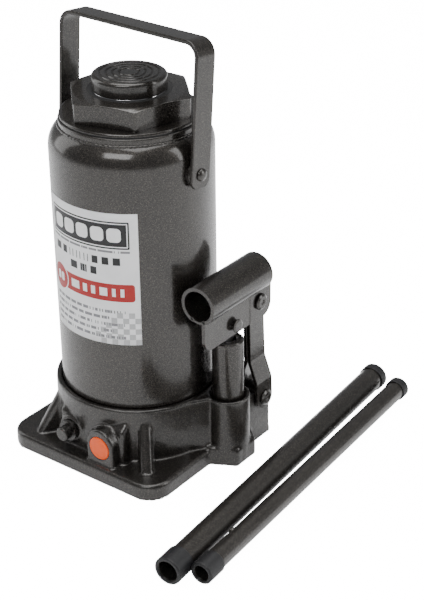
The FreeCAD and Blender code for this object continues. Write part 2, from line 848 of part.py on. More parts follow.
def link_plate_on(side):
    """One strap of the link: flat at the top, cranked out to straddle the lug."""
    near = link_half_gap
    far = lug_half + side_play
    low = link_foot_z - link_foot_reach - 2
    high = link_top_z + link_top_reach + 2
    inner = [(near, high), (near, link_bend_high), (far, link_bend_low), (far, low)]
    shifts = (0, link_bend_shift, link_bend_shift, 0)
    outer = [(x + link_plate, z + shift) for (x, z), shift in zip(inner, shifts)]
    points = [Vec(pump_x + side * x, 0, z) for x, z in inner + outer[::-1]]
    strip = prism(points, Vec(0, link_foot_y + 2 * link_foot_reach, 0))
    plate = strip.common(link_side_outline())
    hole_low = cylinder(link_pin_radius + pin_play, Vec(pump_x - 20, link_foot_y, link_foot_z),
                        Vec(1, 0, 0), 40)
    hole_high = cylinder(link_pin_radius + pin_play, Vec(pump_x - 20, link_top_y, link_top_z),
                         Vec(1, 0, 0), 40)
    return plate.cut(hole_low).cut(hole_high)


def cross_pin(radius, half, y, z, head_radius, head_height, head_share):
    """A rivet-like pin across X: plain shank with a round head at each end."""
    shank = cylinder(radius, Vec(pump_x - half - 0.5, y, z), Vec(1, 0, 0), 2 * half + 1)
    parts = [shank]
    for side in (-1, 1):
        start = Vec(pump_x + side * half, y, z)
        head = cylinder(head_radius, start, Vec(side, 0, 0), head_height)
        outer = half + head_height
        rim = edges_at(head, lambda p, e: abs(abs(p.x - pump_x) - outer) < 1e-6)
        parts.append(head.makeFillet(head_height * head_share, rim))
    return fused(parts)


def link_lower_pin():
    """Pin through the lug and the foot of the link."""
    half = lug_half + side_play + link_plate + side_play
    return cross_pin(link_pin_radius, half, link_foot_y, link_foot_z, link_head_radius,
                     link_foot_head, head_round_share)


def link_upper_pin():
    """Pin through the rear ears of the socket and the top of the link."""
    half = leg_gap_rear + leg_wall + side_play
    return cross_pin(link_pin_radius, half, link_top_y, link_top_z, link_head_radius,
                     link_top_head, head_round_share)


def plunger_pin():
    """Pin through the front legs of the socket and the eye of the plunger."""
    half = leg_gap_front + leg_wall + seat_play
    return cross_pin(plunger_pin_radius, half, pump_y, plunger_pin_height, plunger_head_radius,
                     plunger_head_height, head_round_share / 2)


def socket_leg(side):
    """One sheet-metal leg, stepped behind the plunger to pass the link."""
    near = leg_gap_front
    far = leg_gap_rear
    start = leg_step_y
    end = leg_step_y + leg_step_run
    inner = [(near, socket_mouth_y), (near, start), (far, end), (far, leg_end_y)]
    outer = [(x + leg_wall, y + shift) for (x, y), shift in zip(inner, (0, 1.0, 1.0, 0))]
    top = socket_axis_z - socket_bore * leg_root_share
    points = [Vec(pump_x + side * x, y, leg_bottom) for x, y in inner + outer[::-1]]
    leg = prism(points, Vec(0, 0, top - leg_bottom))
    return leg.common(socket_side())


def socket_side():
    """The legs seen from the side, with rounded lower corners."""
    side = box((pump_x - 20, socket_mouth_y, leg_bottom), (pump_x + 20, leg_end_y, socket_axis_z))
    front = edges_at(side, lambda p, e: abs(p.y - socket_mouth_y) < 1e-6
                     and abs(p.z - leg_bottom) < 1e-6)
    side = side.makeFillet(leg_front_round, front)
    rear = edges_at(side, lambda p, e: abs(p.y - leg_end_y) < 1e-6
                    and abs(p.z - leg_bottom) < 1e-6)
    return side.makeFillet(leg_rear_round, rear)


def socket_neck(side):
    """The straight flank between the rolled tube and the root of one leg."""
    outer = socket_bore + socket_wall
    high = socket_axis_z - neck_top_drop
    low = socket_axis_z - neck_foot_drop
    wedge = [(outer - neck_top_inset, high), (leg_gap_front + leg_wall, low),
             (leg_gap_front, low), (leg_gap_front, high)]
    wedge = [Vec(pump_x + side * x, socket_mouth_y, z) for x, z in wedge]
    return prism(wedge, Vec(0, leg_step_y - socket_mouth_y, 0))


def handle_socket():
    """Pressed socket: one sheet rolled round the handle, its two ends hanging as legs.

    The leg nearer the tank starts further back, and a lip closes the mouth below.
    """
    outer = socket_bore + socket_wall
    length = socket_end_y - socket_mouth_y
    tube = cylinder(outer, Vec(pump_x, socket_mouth_y, socket_axis_z), Vec(0, 1, 0), length)
    body = fused([tube, socket_leg(-1), socket_leg(1), socket_neck(-1), socket_neck(1)])
    bore = cylinder(socket_bore, Vec(pump_x, socket_mouth_y - 1, socket_axis_z), Vec(0, 1, 0),
                    length + 20)
    front_gap = box((pump_x - leg_gap_front, socket_mouth_y + lip_length, leg_bottom - 1),
                    (pump_x + leg_gap_front, leg_step_y, socket_axis_z - 2))
    under_lip = box((pump_x - leg_gap_front, socket_mouth_y - 1, leg_bottom - 1),
                    (pump_x + leg_gap_front, leg_step_y, socket_axis_z - outer))
    rear_gap = box((pump_x - leg_gap_rear, leg_step_y, leg_bottom - 1),
                   (pump_x + leg_gap_rear, leg_end_y + 1, socket_axis_z - 2))
    setback = box((pump_x - outer, socket_mouth_y - 1, leg_bottom - 1),
                  (pump_x - leg_gap_front + 0.1, socket_mouth_y + short_leg_setback,
                   socket_axis_z - neck_foot_drop))
    pin_front = cylinder(plunger_pin_radius + seat_play,
                         Vec(pump_x - 20, pump_y, plunger_pin_height), Vec(1, 0, 0), 40)
    pin_rear = cylinder(link_pin_radius + pin_play, Vec(pump_x - 20, link_top_y, link_top_z),
                        Vec(1, 0, 0), 40)
    for hole in (bore, front_gap, under_lip, rear_gap, setback, pin_front, pin_rear):
        body = body.cut(hole)
    return body


# ---------------------------------------------------------------- valves

def seated_ball(radius, seat_radius, x, y, floor):
    """A ball resting on the rim of an upright seat hole."""
    height = math.sqrt(radius ** 2 - seat_radius ** 2)
    return Part.makeSphere(radius, Vec(x, y, floor + height + slip))


def suction_ball():
    """Ball that lets oil into the pump."""
    return seated_ball(check_ball_radius, check_seat_radius, pump_x, pump_y, pump_chamber_floor)


def delivery_ball():
    """Ball that lets oil out to the ram."""
    return seated_ball(check_ball_radius, check_seat_radius, delivery_x, delivery_y,
                       delivery_floor)


def delivery_plug():
    """Screw plug that closes the delivery valve's bore at the deck."""
    low = deck_height - delivery_plug_height
    plug = bar(delivery_radius - seat_play, low, deck_height, delivery_x, delivery_y)
    slot = box((delivery_x - 6, delivery_y - 0.7, deck_height - 2),
               (delivery_x + 6, delivery_y + 0.7, deck_height + 1))
    return plug.cut(slot)


def coil(radius, wire, low, high, turns, centre, axis):
    """A compression spring with round wire, its axis from centre along axis."""
    height = high - low - 2 * wire
    helix = Part.makeHelix(height / turns, height, radius - wire)
    section = Part.Wire([Part.makeCircle(wire, Vec(radius - wire, 0, 0), Vec(0, 1, 0))])
    spring = Part.Wire(helix.Edges).makePipeShell([section], True, True)
    spring.translate(Vec(0, 0, low + wire))
    turn = FreeCAD.Rotation(up, axis)
    spring.Placement = FreeCAD.Placement(centre, turn).multiply(spring.Placement)
    return spring


def relief_spring():
    """Spring that sets the overload pressure."""
    start = relief_seat_y - 2 * relief_ball_radius - relief_spring_gap
    end = relief_face_y + relief_plug_depth + relief_screw_gap + relief_screw_length + 0.2
    return coil(relief_bore - relief_spring_inset, relief_wire_radius, 0, start - end,
                relief_spring_turns,
                Vec(relief_x, start, relief_z), Vec(0, -1, 0))


def relief_ball():
    """Overload ball on its seat."""
    height = math.sqrt(relief_ball_radius ** 2 - gallery_radius ** 2)
    return Part.makeSphere(relief_ball_radius,
                           Vec(relief_x, relief_seat_y - height - slip, relief_z))


def relief_screw():
    """Slotted screw that presses on the relief spring."""
    start = relief_face_y + relief_plug_depth + relief_screw_gap
    screw = cylinder(relief_bore, Vec(relief_x, start, relief_z), Vec(0, 1, 0),
                     relief_screw_length)
    half = relief_screw_slot / 2
    slot = box((relief_x - relief_bore - 1, start - 1, relief_z - half),
               (relief_x + relief_bore + 1, start + relief_screw_slot, relief_z + half))
    return screw.cut(slot)


def relief_cover_plug():
    """Plastic plug that covers the relief valve's adjusting screw."""
    front = relief_face_y - relief_plug_proud
    plug = cylinder(relief_plug_radius, Vec(relief_x, front, relief_z), Vec(0, 1, 0),
                    relief_plug_depth + relief_plug_proud - 0.2)
    rim = edges_at(plug, lambda p, e: abs(p.y - front) < 1e-6)
    return plug.makeFillet(relief_plug_round, rim)


def release_ball():
    """Ball that the release screw presses on its seat."""
    height = math.sqrt(release_ball_radius ** 2 - gallery_radius ** 2)
    return Part.makeSphere(release_ball_radius,
                           Vec(release_x, release_seat_y - height - slip, release_z))


def release_valve_screw():
    """Release screw: threaded body with a seal groove, collar and a notched head."""
    back = Vec(0, -1, 0)
    tip = release_seat_y - 2 * release_ball_radius - release_tip_gap
    body = cylinder(release_bore, Vec(release_x, tip, release_z), back, tip - release_collar_y)
    collar = cylinder(release_collar_radius, Vec(release_x, release_collar_y, release_z), back,
                      release_collar_width)
    stem = cylinder(release_stem_radius, Vec(release_x, release_collar_y, release_z), back,
                    release_collar_y - release_head_y)
    rim = edges_at(stem, lambda p, e: abs(p.y - release_head_y) < 1e-6)
    stem = stem.makeFillet(release_head_round, rim)
    screw = fused([body, collar, stem])
    notch_y = release_head_y + release_notch_setback
    for side in (-1, 1):
        near = release_x + side * release_notch_half
        far = release_x + side * (release_stem_radius + 1)
        screw = screw.cut(box((min(near, far), notch_y - release_notch_width, release_z - 8),
                              (max(near, far), notch_y, release_z + 8)))
    return screw.cut(release_groove(release_bore + 1))


def release_groove(outer):
    """The ring-shaped space of the release screw's seal, out to a given radius."""
    tube = cylinder(outer, Vec(release_x, release_seal_y, release_z), Vec(0, 1, 0),
                    release_seal_width)
    core = cylinder(release_bore - release_seal_depth, Vec(release_x, release_seal_y - 1, release_z),
                    Vec(0, 1, 0), release_seal_width + 2)
    return tube.cut(core)


def release_seal():
    """Rubber ring in the groove of the release screw."""
    return release_groove(release_bore)


# ---------------------------------------------------------------- gaskets, filter, label

def tank_foot_gasket():
    """Gasket under the rim of the tank."""
    return ring(tank_radius, tank_radius - tank_wall - 1, deck_height,
                deck_height + gasket_thickness)


def tank_top_gasket():
    """Gasket between the neck of the tank and the flange of the nut."""
    return ring(flange_radius - 0.4, neck_bore, neck_top, neck_top + gasket_thickness)


def cylinder_foot_gasket():
    """Copper ring under the ram cylinder."""
    return ring(cylinder_radius, cylinder_bore, cylinder_seat,
                cylinder_seat + foot_gasket_thickness)


def pump_foot_gasket():
    """Copper ring under the pump barrel."""
    return ring(pump_radius, plunger_radius + 1, pump_foot, pump_foot + foot_gasket_thickness,
                pump_x, pump_y)


def suction_filter():
    """Perforated strainer cap over the suction port on the deck."""
    top = deck_height + filter_height
    cap = ring(filter_radius, filter_radius - filter_skin, deck_height, top, filter_x, filter_y)
    lid = bar(filter_radius, top - filter_skin, top, filter_x, filter_y)
    strainer = fused([cap, lid])
    for step in range(6):
        angle = math.radians(60 * step)
        strainer = strainer.cut(bar(filter_hole, top - 2, top + 2,
                                    filter_x + filter_hole_ring * math.cos(angle),
                                    filter_y + filter_hole_ring * math.sin(angle)))
    return strainer


def label():
    """Paper label, wrapped on the front of the tank."""
    inner = tank_radius + seat_play
    sheet = ring(inner + label_thickness, inner, label_bottom, label_top)
    reach = tank_radius + 5
    start = math.radians(-90 + label_turn - label_half_angle)
    end = math.radians(-90 + label_turn + label_half_angle)
    wedge = [Vec(0, 0, label_bottom - 1),
             Vec(reach * 2 * math.cos(start), reach * 2 * math.sin(start), label_bottom - 1),
             Vec(reach * 2 * math.cos(end), reach * 2 * math.sin(end), label_bottom - 1)]
    return sheet.common(prism(wedge, Vec(0, 0, label_top - label_bottom + 2)))


# ---------------------------------------------------------------- handle halves

def laid_down(shape, near, turn, height):
    """Move a shape built along +Y from the origin to its place on the floor."""
    shape.rotate(Vec(0, 0, 0), up, turn)
    shape.translate(Vec(near[0], near[1], height))
    return shape


def tube_along(radius, wall, start, length):
    """A tube along +Y from a start distance."""
    outer = cylinder(radius, Vec(0, start, 0), Vec(0, 1, 0), length)
    return outer.cut(cylinder(radius - wall, Vec(0, start - 1, 0), Vec(0, 1, 0), length + 2))


def handle_tube(radius, wall, length, near, turn, collar_radius):
    """One steel half of the handle, between its two collars' lips."""
    tube = tube_along(radius, wall, collar_lip, length - 2 * collar_lip)
    return laid_down(tube, near, turn, collar_radius)


def handle_collars(radius, length, near, turn, collar_radius, bore):
    """The two plastic end collars of one half, as a pair of separate solids."""
    collars = []
    for start, size, lip_at in ((0, near_collar_length, 0), (length - far_collar_length,
                                                            far_collar_length, 1)):
        sleeve = cylinder(collar_radius, Vec(0, start, 0), Vec(0, 1, 0), size)
        rims = edges_at(sleeve, lambda p, e: True)
        sleeve = sleeve.makeFillet(1.0, [e for e in rims if len(e.Vertexes) == 1])
        sleeve = sleeve.cut(cylinder(bore, Vec(0, start - 1, 0), Vec(0, 1, 0), size + 2))
        seat = start + collar_lip if lip_at == 0 else start - 1
        sleeve = sleeve.cut(cylinder(radius + seat_play, Vec(0, seat, 0), Vec(0, 1, 0),
                                     size - collar_lip + 1))
        collars.append(laid_down(sleeve, near, turn, collar_radius))
    return group(collars)


def upper_detent():
    """Pressed stop on the slim half that keeps it from sliding right in."""
    stud = Part.makeSphere(detent_radius, Vec(-upper_radius + detent_radius - detent_height,
                                              detent_from_end, 0))
    keep = cylinder(upper_radius + seat_play, Vec(0, detent_from_end - 10, 0), Vec(0, 1, 0), 20)
    stud = stud.cut(keep)
    stud.rotate(Vec(0, 0, 0), Vec(0, 1, 0), 42)
    return laid_down(stud, upper_near, upper_turn, upper_collar_radius)


nodes = {
    "base_casting": base_casting(),
    "reservoir_tank": reservoir_tank(),
    "hydraulic_cylinder": hydraulic_cylinder(),
    "top_nut": top_nut(),
    "ram_wiper_seal": wiper_seal(),
    "ram_guide_bush": ram_guide_bush(),
    "tank_top_gasket": tank_top_gasket(),
    "tank_foot_gasket": tank_foot_gasket(),
    "cylinder_foot_gasket": cylinder_foot_gasket(),
    "ram": ram_rod(),
    "ram_piston": ram_piston(),
    "piston_seal": piston_seal(),
    "piston_ring": piston_ring(),
    "saddle": saddle(),
    "carry_bail": carry_bail(),
    "bail_lugs": bail_lugs(),
    "bail_rivets": bail_rivets(),
    "pump_cylinder": pump_cylinder(),
    "pump_foot_gasket": pump_foot_gasket(),
    "pump_plunger": pump_plunger(),
    "plunger_seal": plunger_seal(),
    "plunger_pin": plunger_pin(),
    "link_plate_left": link_plate_on(-1),
    "link_plate_right": link_plate_on(1),
    "link_lower_pin": link_lower_pin(),
    "link_upper_pin": link_upper_pin(),
    "handle_socket": handle_socket(),
    "suction_ball": suction_ball(),
    "delivery_ball": delivery_ball(),
    "delivery_plug": delivery_plug(),
    "suction_filter": suction_filter(),
    "relief_ball": relief_ball(),
    "relief_spring": relief_spring(),
    "relief_screw": relief_screw(),
    "relief_cover_plug": relief_cover_plug(),
    "release_ball": release_ball(),
    "release_valve_screw": release_valve_screw(),
    "release_seal": release_seal(),
    "filler_plug": filler_plug(),
    "label": label(),
    "handle_lower_tube": handle_tube(lower_radius, lower_wall, lower_length, lower_near,
                                     lower_turn, lower_collar_radius),
    "handle_lower_collars": handle_collars(lower_radius, lower_length, lower_near, lower_turn,
                                           lower_collar_radius, lower_radius - lower_wall),
    "handle_upper_tube": handle_tube(upper_radius, upper_wall, upper_length, upper_near,
                                     upper_turn, upper_collar_radius),
    "handle_upper_collars": handle_collars(upper_radius, upper_length, upper_near, upper_turn,
                                           upper_collar_radius, upper_radius - upper_wall),
    "handle_upper_detent": upper_detent(),
}

os.makedirs("parts", exist_ok=True)
for name, shape in nodes.items():
    shape.exportStep("parts/" + name + ".step")
    box_mm = shape.BoundBox
    print(name, "valid" if shape.isValid() else "INVALID", len(shape.Solids),
          round(shape.Volume, 1), "z", round(box_mm.ZMin, 1), round(box_mm.ZMax, 1))
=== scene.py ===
"""Looks of a hydraulic bottle jack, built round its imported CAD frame.

Every length is in metres and every piece shares the frame's origin: the centre line of
the ram on the floor, with Z up, the pump on the +X side and the operator at -Y.
"""

import logging
import math
from dataclasses import dataclass, field
from enum import Enum

import bmesh
import bpy
import numpy as np
from mathutils import Matrix, Vector


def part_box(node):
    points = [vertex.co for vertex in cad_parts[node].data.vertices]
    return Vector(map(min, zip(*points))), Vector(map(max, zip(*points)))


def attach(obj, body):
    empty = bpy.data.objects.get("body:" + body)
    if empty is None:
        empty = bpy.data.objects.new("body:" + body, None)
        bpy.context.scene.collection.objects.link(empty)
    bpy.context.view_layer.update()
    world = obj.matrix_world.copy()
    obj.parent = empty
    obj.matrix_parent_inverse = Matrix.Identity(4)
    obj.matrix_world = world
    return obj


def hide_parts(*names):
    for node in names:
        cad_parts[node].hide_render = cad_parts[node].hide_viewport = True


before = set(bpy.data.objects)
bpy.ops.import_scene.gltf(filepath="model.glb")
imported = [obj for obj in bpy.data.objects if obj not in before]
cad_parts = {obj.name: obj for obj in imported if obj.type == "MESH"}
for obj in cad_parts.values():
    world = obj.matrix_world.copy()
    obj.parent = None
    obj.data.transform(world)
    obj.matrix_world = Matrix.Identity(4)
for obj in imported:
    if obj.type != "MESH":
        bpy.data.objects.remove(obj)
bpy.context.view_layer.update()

log = logging.getLogger("bottle_jack")
MM = 0.001
TAU = 2.0 * math.pi


# ------------------------------------------------------------------ surface tools

def unit(vectors: np.ndarray) -> np.ndarray:
    """Vectors over the last axis, each divided by its length."""
    return vectors / np.maximum(np.linalg.norm(vectors, axis=-1, keepdims=True), 1e-12)


def rounded_outline(points: np.ndarray, radii: np.ndarray | float, closed: bool = True,
                    steps: int = 5) -> np.ndarray:
    """Round every corner of a polygon with an arc.

    At a corner P with unit directions a and b to its neighbours and inner angle phi, the
    arc's centre is P + unit(a + b) * r / sin(phi / 2), and its points are the slerp
    between the two tangent points seen from that centre.

    Args:
        points: Corners, one row each, in two dimensions.
        radii: One radius for all the corners, or one each.
        closed: Whether the last corner joins the first.
        steps: Points on each arc.

    Returns:
        The rounded outline's points, in the same order.
    """
    pts = np.asarray(points, float)
    r = np.broadcast_to(np.asarray(radii, float), (len(pts),)).copy()
    before = unit(np.roll(pts, 1, axis=0) - pts)
    after = unit(np.roll(pts, -1, axis=0) - pts)
    if not closed:
        r[0] = r[-1] = 0.0
    cos_phi = np.clip((before * after).sum(axis=1), -1, 1)
    half = np.arccos(cos_phi) / 2
    r = np.maximum(r, 1e-7)
    reach = r / np.tan(np.maximum(half, 1e-3))
    centre = pts + unit(before + after) * (r / np.sin(half))[:, None]
    start = pts + before * reach[:, None] - centre
    end = pts + after * reach[:, None] - centre
    sweep = math.pi - 2 * half
    t = np.linspace(0, 1, steps)[None, :]
    s = np.maximum(np.sin(sweep), 1e-6)[:, None]
    w0 = np.sin((1 - t) * sweep[:, None]) / s
    w1 = np.sin(t * sweep[:, None]) / s
    arcs = centre[:, None, :] + w0[..., None] * start[:, None, :] + w1[..., None] * end[:, None, :]
    flat = (half > math.pi / 2 - 1e-3) | (r < 1e-6)
    arcs[flat] = pts[flat][:, None, :]
    out = arcs.reshape(-1, pts.shape[1])
    keep = np.linalg.norm(out - np.roll(out, 1, axis=0), axis=1) > 1e-8
    keep[0] = True
    return out[keep]


def grid_quads(rows: int, cols: int, wrap_rows: bool, wrap_cols: bool) -> np.ndarray:
    """Quads that join the points of a grid, row by row.

    Args:
        rows: Number of rows of points.
        cols: Points in each row.
        wrap_rows: Whether the last row joins the first.
        wrap_cols: Whether the last column joins the first.

    Returns:
        An array of four point numbers for each quad.
    """
    i = np.arange(rows if wrap_rows else rows - 1)
    j = np.arange(cols if wrap_cols else cols - 1)
    i, j = np.meshgrid(i, j, indexing="ij")
    i2, j2 = (i + 1) % rows, (j + 1) % cols
    quads = np.stack([i * cols + j, i * cols + j2, i2 * cols + j2, i2 * cols + j], axis=-1)
    return quads.reshape(-1, 4)


def strip_cap(cols: int) -> np.ndarray:
    """Quads that close the end of a skin whose section runs out and back, cols points round."""
    i = np.arange(cols // 2 - 1)
    return np.stack([i, i + 1, cols - 2 - i, cols - 1 - i], axis=-1)


def new_object(name: str, points: np.ndarray, quads: np.ndarray,
               extra_faces: list[list[int]] | None = None) -> bpy.types.Object:
    """A smooth mesh object from points and quads, welded and turned outwards.

    Args:
        name: The object's name.
        points: Points, one row of three each.
        quads: Four point numbers for each face.
        extra_faces: Faces with any number of corners, such as end caps.

    Returns:
        The object, linked to the scene, at the origin.
    """
    mesh = bpy.data.meshes.new(name)
    mesh.from_pydata(points.reshape(-1, 3).tolist(), [], quads.tolist() + (extra_faces or []))
    work = bmesh.new()
    work.from_mesh(mesh)
    bmesh.ops.remove_doubles(work, verts=work.verts, dist=2e-7)
    bmesh.ops.dissolve_degenerate(work, edges=work.edges, dist=1e-8)
    bmesh.ops.recalc_face_normals(work, faces=work.faces)
    work.to_mesh(mesh)
    work.free()
    mesh.polygons.foreach_set("use_smooth", np.ones(len(mesh.polygons), bool))
    obj = bpy.data.objects.new(name, mesh)
    bpy.context.scene.collection.objects.link(obj)
    return obj


def weight_normals(obj: bpy.types.Object) -> None:
    """Let large faces rule the shading, so that flats stay flat beside small rounds."""
    modifier = obj.modifiers.new("weighted", "WEIGHTED_NORMAL")
    modifier.weight = 70
    modifier.keep_sharp = True


def soften_edges(obj: bpy.types.Object, width: float, from_degrees: float) -> None:
    """Round every edge sharper than an angle, and weight the normals.

    Args:
        obj: The piece.
        width: Width of the rounding.
        from_degrees: Smallest angle between two faces that is rounded.
    """
    edge = obj.modifiers.new("soft_edges", "BEVEL")
    edge.width = width
    edge.segments = 2
    edge.limit_method = "ANGLE"
    edge.angle_limit = math.radians(from_degrees)
    weight_normals(obj)


def axis_matrix(origin: tuple[float, float, float], axis: tuple[float, float, float]) -> Matrix:
    """The place of a part turned about its own Z: Z goes to axis, the origin to origin."""
    turn = Vector((0, 0, 1)).rotation_difference(Vector(axis)).to_matrix().to_4x4()
    return Matrix.Translation(Vector(origin)) @ turn


def placed(points: np.ndarray, matrix: Matrix) -> np.ndarray:
    """Points carried by a matrix."""
    m = np.array(matrix)
    return points @ m[:3, :3].T + m[:3, 3]


def turned_points(profile: np.ndarray, segments: int) -> np.ndarray:
    """Points of a turned surface: (r, z) becomes (r cos a, r sin a, z) at even angles a."""
    a = np.arange(segments) * (TAU / segments)
    r, z = profile[:, 0][:, None], profile[:, 1][:, None]
    return np.stack([r * np.cos(a), r * np.sin(a), z + 0 * a], axis=-1)


def strap_sections(path: np.ndarray, half_width: np.ndarray, thickness: float,
                   edge: float) -> np.ndarray:
    """A flat strap carried along a path in its own XZ plane, with Y across its width.

    At each path point with tangent t and normal n = (-t_z, t_x), the section is a
    rounded rectangle: width along Y, thickness along n.

    Args:
        path: Path points (x, z), one row each.
        half_width: Half the strap's width at each path point.
        thickness: Thickness of the strap.
        edge: Radius of the strap's long edges.

    Returns:
        Points as a grid: path, section, (x, y, z).
    """
    tangent = unit(np.gradient(path, axis=0))
    normal = np.stack([-tangent[:, 1], tangent[:, 0]], axis=-1)
    h = thickness / 2
    arcs = 4
    angle = np.linspace(0, math.pi / 2, arcs)
    centres = np.array([[1, h - edge], [-1, h - edge], [-1, edge - h], [1, edge - h]])
    quarter = np.arange(4)[:, None] * (math.pi / 2) + angle[None, :]
    dn = centres[:, 1][:, None] + edge * np.sin(quarter)
    side = np.broadcast_to(centres[:, 0][:, None], quarter.shape)
    inset = edge * (1 - np.abs(np.cos(quarter)))
    side, dn, inset = side.ravel(), dn.ravel(), inset.ravel()
    y = side[None, :] * np.maximum(half_width[:, None] - inset[None, :], 1e-5)
    base = path[:, None, :] + normal[:, None, :] * dn[None, :, None]
    return np.stack([base[..., 0], y, base[..., 1]], axis=-1)


def tube_mesh(name: str, grid: np.ndarray, capped: bool = True) -> bpy.types.Object:
    """A closed skin over sections carried along a path, with its two ends filled."""
    rows, cols = grid.shape[:2]
    quads = grid_quads(rows, cols, False, True)
    caps = [list(range(cols)), list(range((rows - 1) * cols, rows * cols))] if capped else []
    obj = new_object(name, grid, quads, caps)
    weight_normals(obj)
    return obj


# ------------------------------------------------------------------ finishes

class Recipe:
    """A node tree under construction, with one short call for each kind of node."""

    def __init__(self, name: str) -> None:
        """Start a material of the given name with its shader and Object coordinates."""
        self.material = bpy.data.materials.new(name)
        self.material.use_nodes = True
        self.tree = self.material.node_tree
        self.shader = self.tree.nodes["Principled BSDF"]
        self.coords = self.tree.nodes.new("ShaderNodeTexCoord").outputs["Object"]

    def add(self, kind: str, settings: dict[str, object] | None = None,
            **inputs: object) -> bpy.types.Node:
        """Add a node.

        Args:
            kind: The node's type name.
            settings: Attributes set on the node itself.
            **inputs: Values or output sockets, by input name with _ for a space.

        Returns:
            The node.
        """
        node = self.tree.nodes.new(kind)
        for key, value in (settings or {}).items():
            setattr(node, key, value)
        for key, value in inputs.items():
            socket = node.inputs[key.replace("_", " ")]
            if isinstance(value, bpy.types.NodeSocket):
                self.tree.links.new(value, socket)
            else:
                socket.default_value = value
        return node

    def scaled(self, stretch: tuple[float, float, float]) -> bpy.types.NodeSocket:
        """Object coordinates stretched along each axis."""
        return self.add("ShaderNodeMapping", Vector=self.coords, Scale=stretch).outputs[0]

    def noise(self, scale: float, detail: float = 3.0, rough: float = 0.5,
              vector: bpy.types.NodeSocket | None = None) -> bpy.types.NodeSocket:
        """Soft noise, scale in cells per metre."""
        return self.add("ShaderNodeTexNoise", Vector=vector or self.coords, Scale=scale,
                        Detail=detail, Roughness=rough).outputs["Fac"]

    def cells(self, scale: float, output: str = "Color") -> bpy.types.NodeSocket:
        """Random cells, scale in cells per metre."""
        return self.add("ShaderNodeTexVoronoi", Vector=self.coords, Scale=scale).outputs[output]

    def ramp(self, fac: bpy.types.NodeSocket, low: float, high: float, start: float = 0.0,
             end: float = 1.0) -> bpy.types.NodeSocket:
        """A smooth step: start below low, end above high."""
        return self.add("ShaderNodeMapRange", {"interpolation_type": "SMOOTHSTEP"}, Value=fac,
                        From_Min=low, From_Max=high, To_Min=start, To_Max=end).outputs[0]

    def math(self, operation: str, a: object, b: object = 0.0,
             c: object = 0.0) -> bpy.types.NodeSocket:
        """One sum on numbers or sockets; c is only used by sums of three."""
        node = self.tree.nodes.new("ShaderNodeMath")
        node.operation = operation
        for socket, value in zip(node.inputs, (a, b, c)):
            if isinstance(value, bpy.types.NodeSocket):
                self.tree.links.new(value, socket)
            else:
                socket.default_value = value
        return node.outputs[0]

    def blend(self, fac: bpy.types.NodeSocket, a: tuple, b: tuple) -> bpy.types.NodeSocket:
        """A colour between two colours."""
        node = self.add("ShaderNodeMix", {"data_type": "RGBA"})
        for key, value in (("Factor", fac), ("A", a), ("B", b)):
            socket = next(s for s in node.inputs if s.name == key and s.enabled)
            if isinstance(value, bpy.types.NodeSocket):
                self.tree.links.new(value, socket)
            else:
                socket.default_value = value
        return next(s for s in node.outputs if s.enabled)

    def bump(self, height: bpy.types.NodeSocket, distance: float, strength: float = 1.0,
             normal: bpy.types.NodeSocket | None = None) -> bpy.types.NodeSocket:
        """A bumped normal; distance is the height of the relief in metres."""
        node = self.add("ShaderNodeBump", Height=height, Distance=distance, Strength=strength)
        if normal is not None:
            self.tree.links.new(normal, node.inputs["Normal"])
        return node.outputs[0]

    def feed(self, **inputs: object) -> None:
        """Set or link the shader's own inputs, by name with _ for a space."""
        for key, value in inputs.items():
            socket = self.shader.inputs[key.replace("_", " ")]
            if isinstance(value, bpy.types.NodeSocket):
                self.tree.links.new(value, socket)
            else:
                socket.default_value = value


def rgb(red: float, green: float, blue: float) -> tuple[float, float, float, float]:
    """A colour with full alpha."""
    return (red, green, blue, 1.0)


@dataclass(frozen=True)
class FlakeEnamel:
    """Glossy enamel with fine metal flake under a clear top film."""

    name: str
    shade: tuple[float, float, float] = (0.020, 0.017, 0.0145)
    flake: tuple[float, float, float] = (0.085, 0.076, 0.064)
    flake_cells: float = 2600.0
    flake_share: float = 0.34
    peel: float = 0.000018
    roughness: float = 0.34
    film_roughness: float = 0.13
    cast_relief: float = 0.0
    # Share of pale patches of painted highlight blended into the colour.
    painted_highlight: float = 0.0

    def make(self) -> bpy.types.Material:
        """Build the material.

        Returns:
            Enamel whose flake cells differ in colour, tilt and roughness, with orange
            peel in the top film and, on castings, the sand texture below it and pale
            noise patches of painted highlight.
        """
        r = Recipe(self.name)
        cell = r.cells(self.flake_cells)
        pick = r.add("ShaderNodeSeparateColor", Color=cell)
        tone = r.noise(22.0, 4.0)
        base = r.blend(r.ramp(tone, 0.35, 0.65), rgb(*[c * 0.86 for c in self.shade]),
                       rgb(*[c * 1.16 for c in self.shade]))
        shine = r.ramp(pick.outputs["Red"], 1 - self.flake_share, 1.0)
        colour = r.blend(r.math("MULTIPLY", shine, 0.8), base, rgb(*self.flake))
        peel = r.noise(420.0, 2.0)
        normal = r.bump(peel, self.peel)
        if self.cast_relief > 0:
            grain = r.noise(900.0, 3.0, 0.6)
            pits = r.noise(230.0, 3.0, 0.55)
            swell = r.noise(70.0, 2.0, 0.5)
            normal = r.bump(grain, self.cast_relief * 0.16, normal=normal)
            normal = r.bump(pits, self.cast_relief * 0.6, normal=normal)
            normal = r.bump(swell, self.cast_relief * 1.6, normal=normal)
        tilt = r.bump(pick.outputs["Green"], 0.00005, 0.55, normal=normal)
        # Painted highlight: pale noise patches blended into the colour stand in for the bright
        # glints along the casting's edges.
        if self.painted_highlight > 0:
            highlight_patch = r.ramp(r.noise(140.0, 5.0, 0.65), 0.60, 0.78)
            colour = r.blend(r.math("MULTIPLY", highlight_patch, self.painted_highlight), colour,
                             rgb(0.16, 0.15, 0.135))
        rough = r.ramp(pick.outputs["Blue"], 0.0, 1.0, self.roughness - 0.07,
                       self.roughness + 0.1)
        r.feed(Base_Color=colour, Metallic=0.72, Roughness=rough, Normal=tilt, Coat_Weight=1.0,
               Coat_Roughness=self.film_roughness, Coat_IOR=1.5, Coat_Normal=normal)
        return r.material


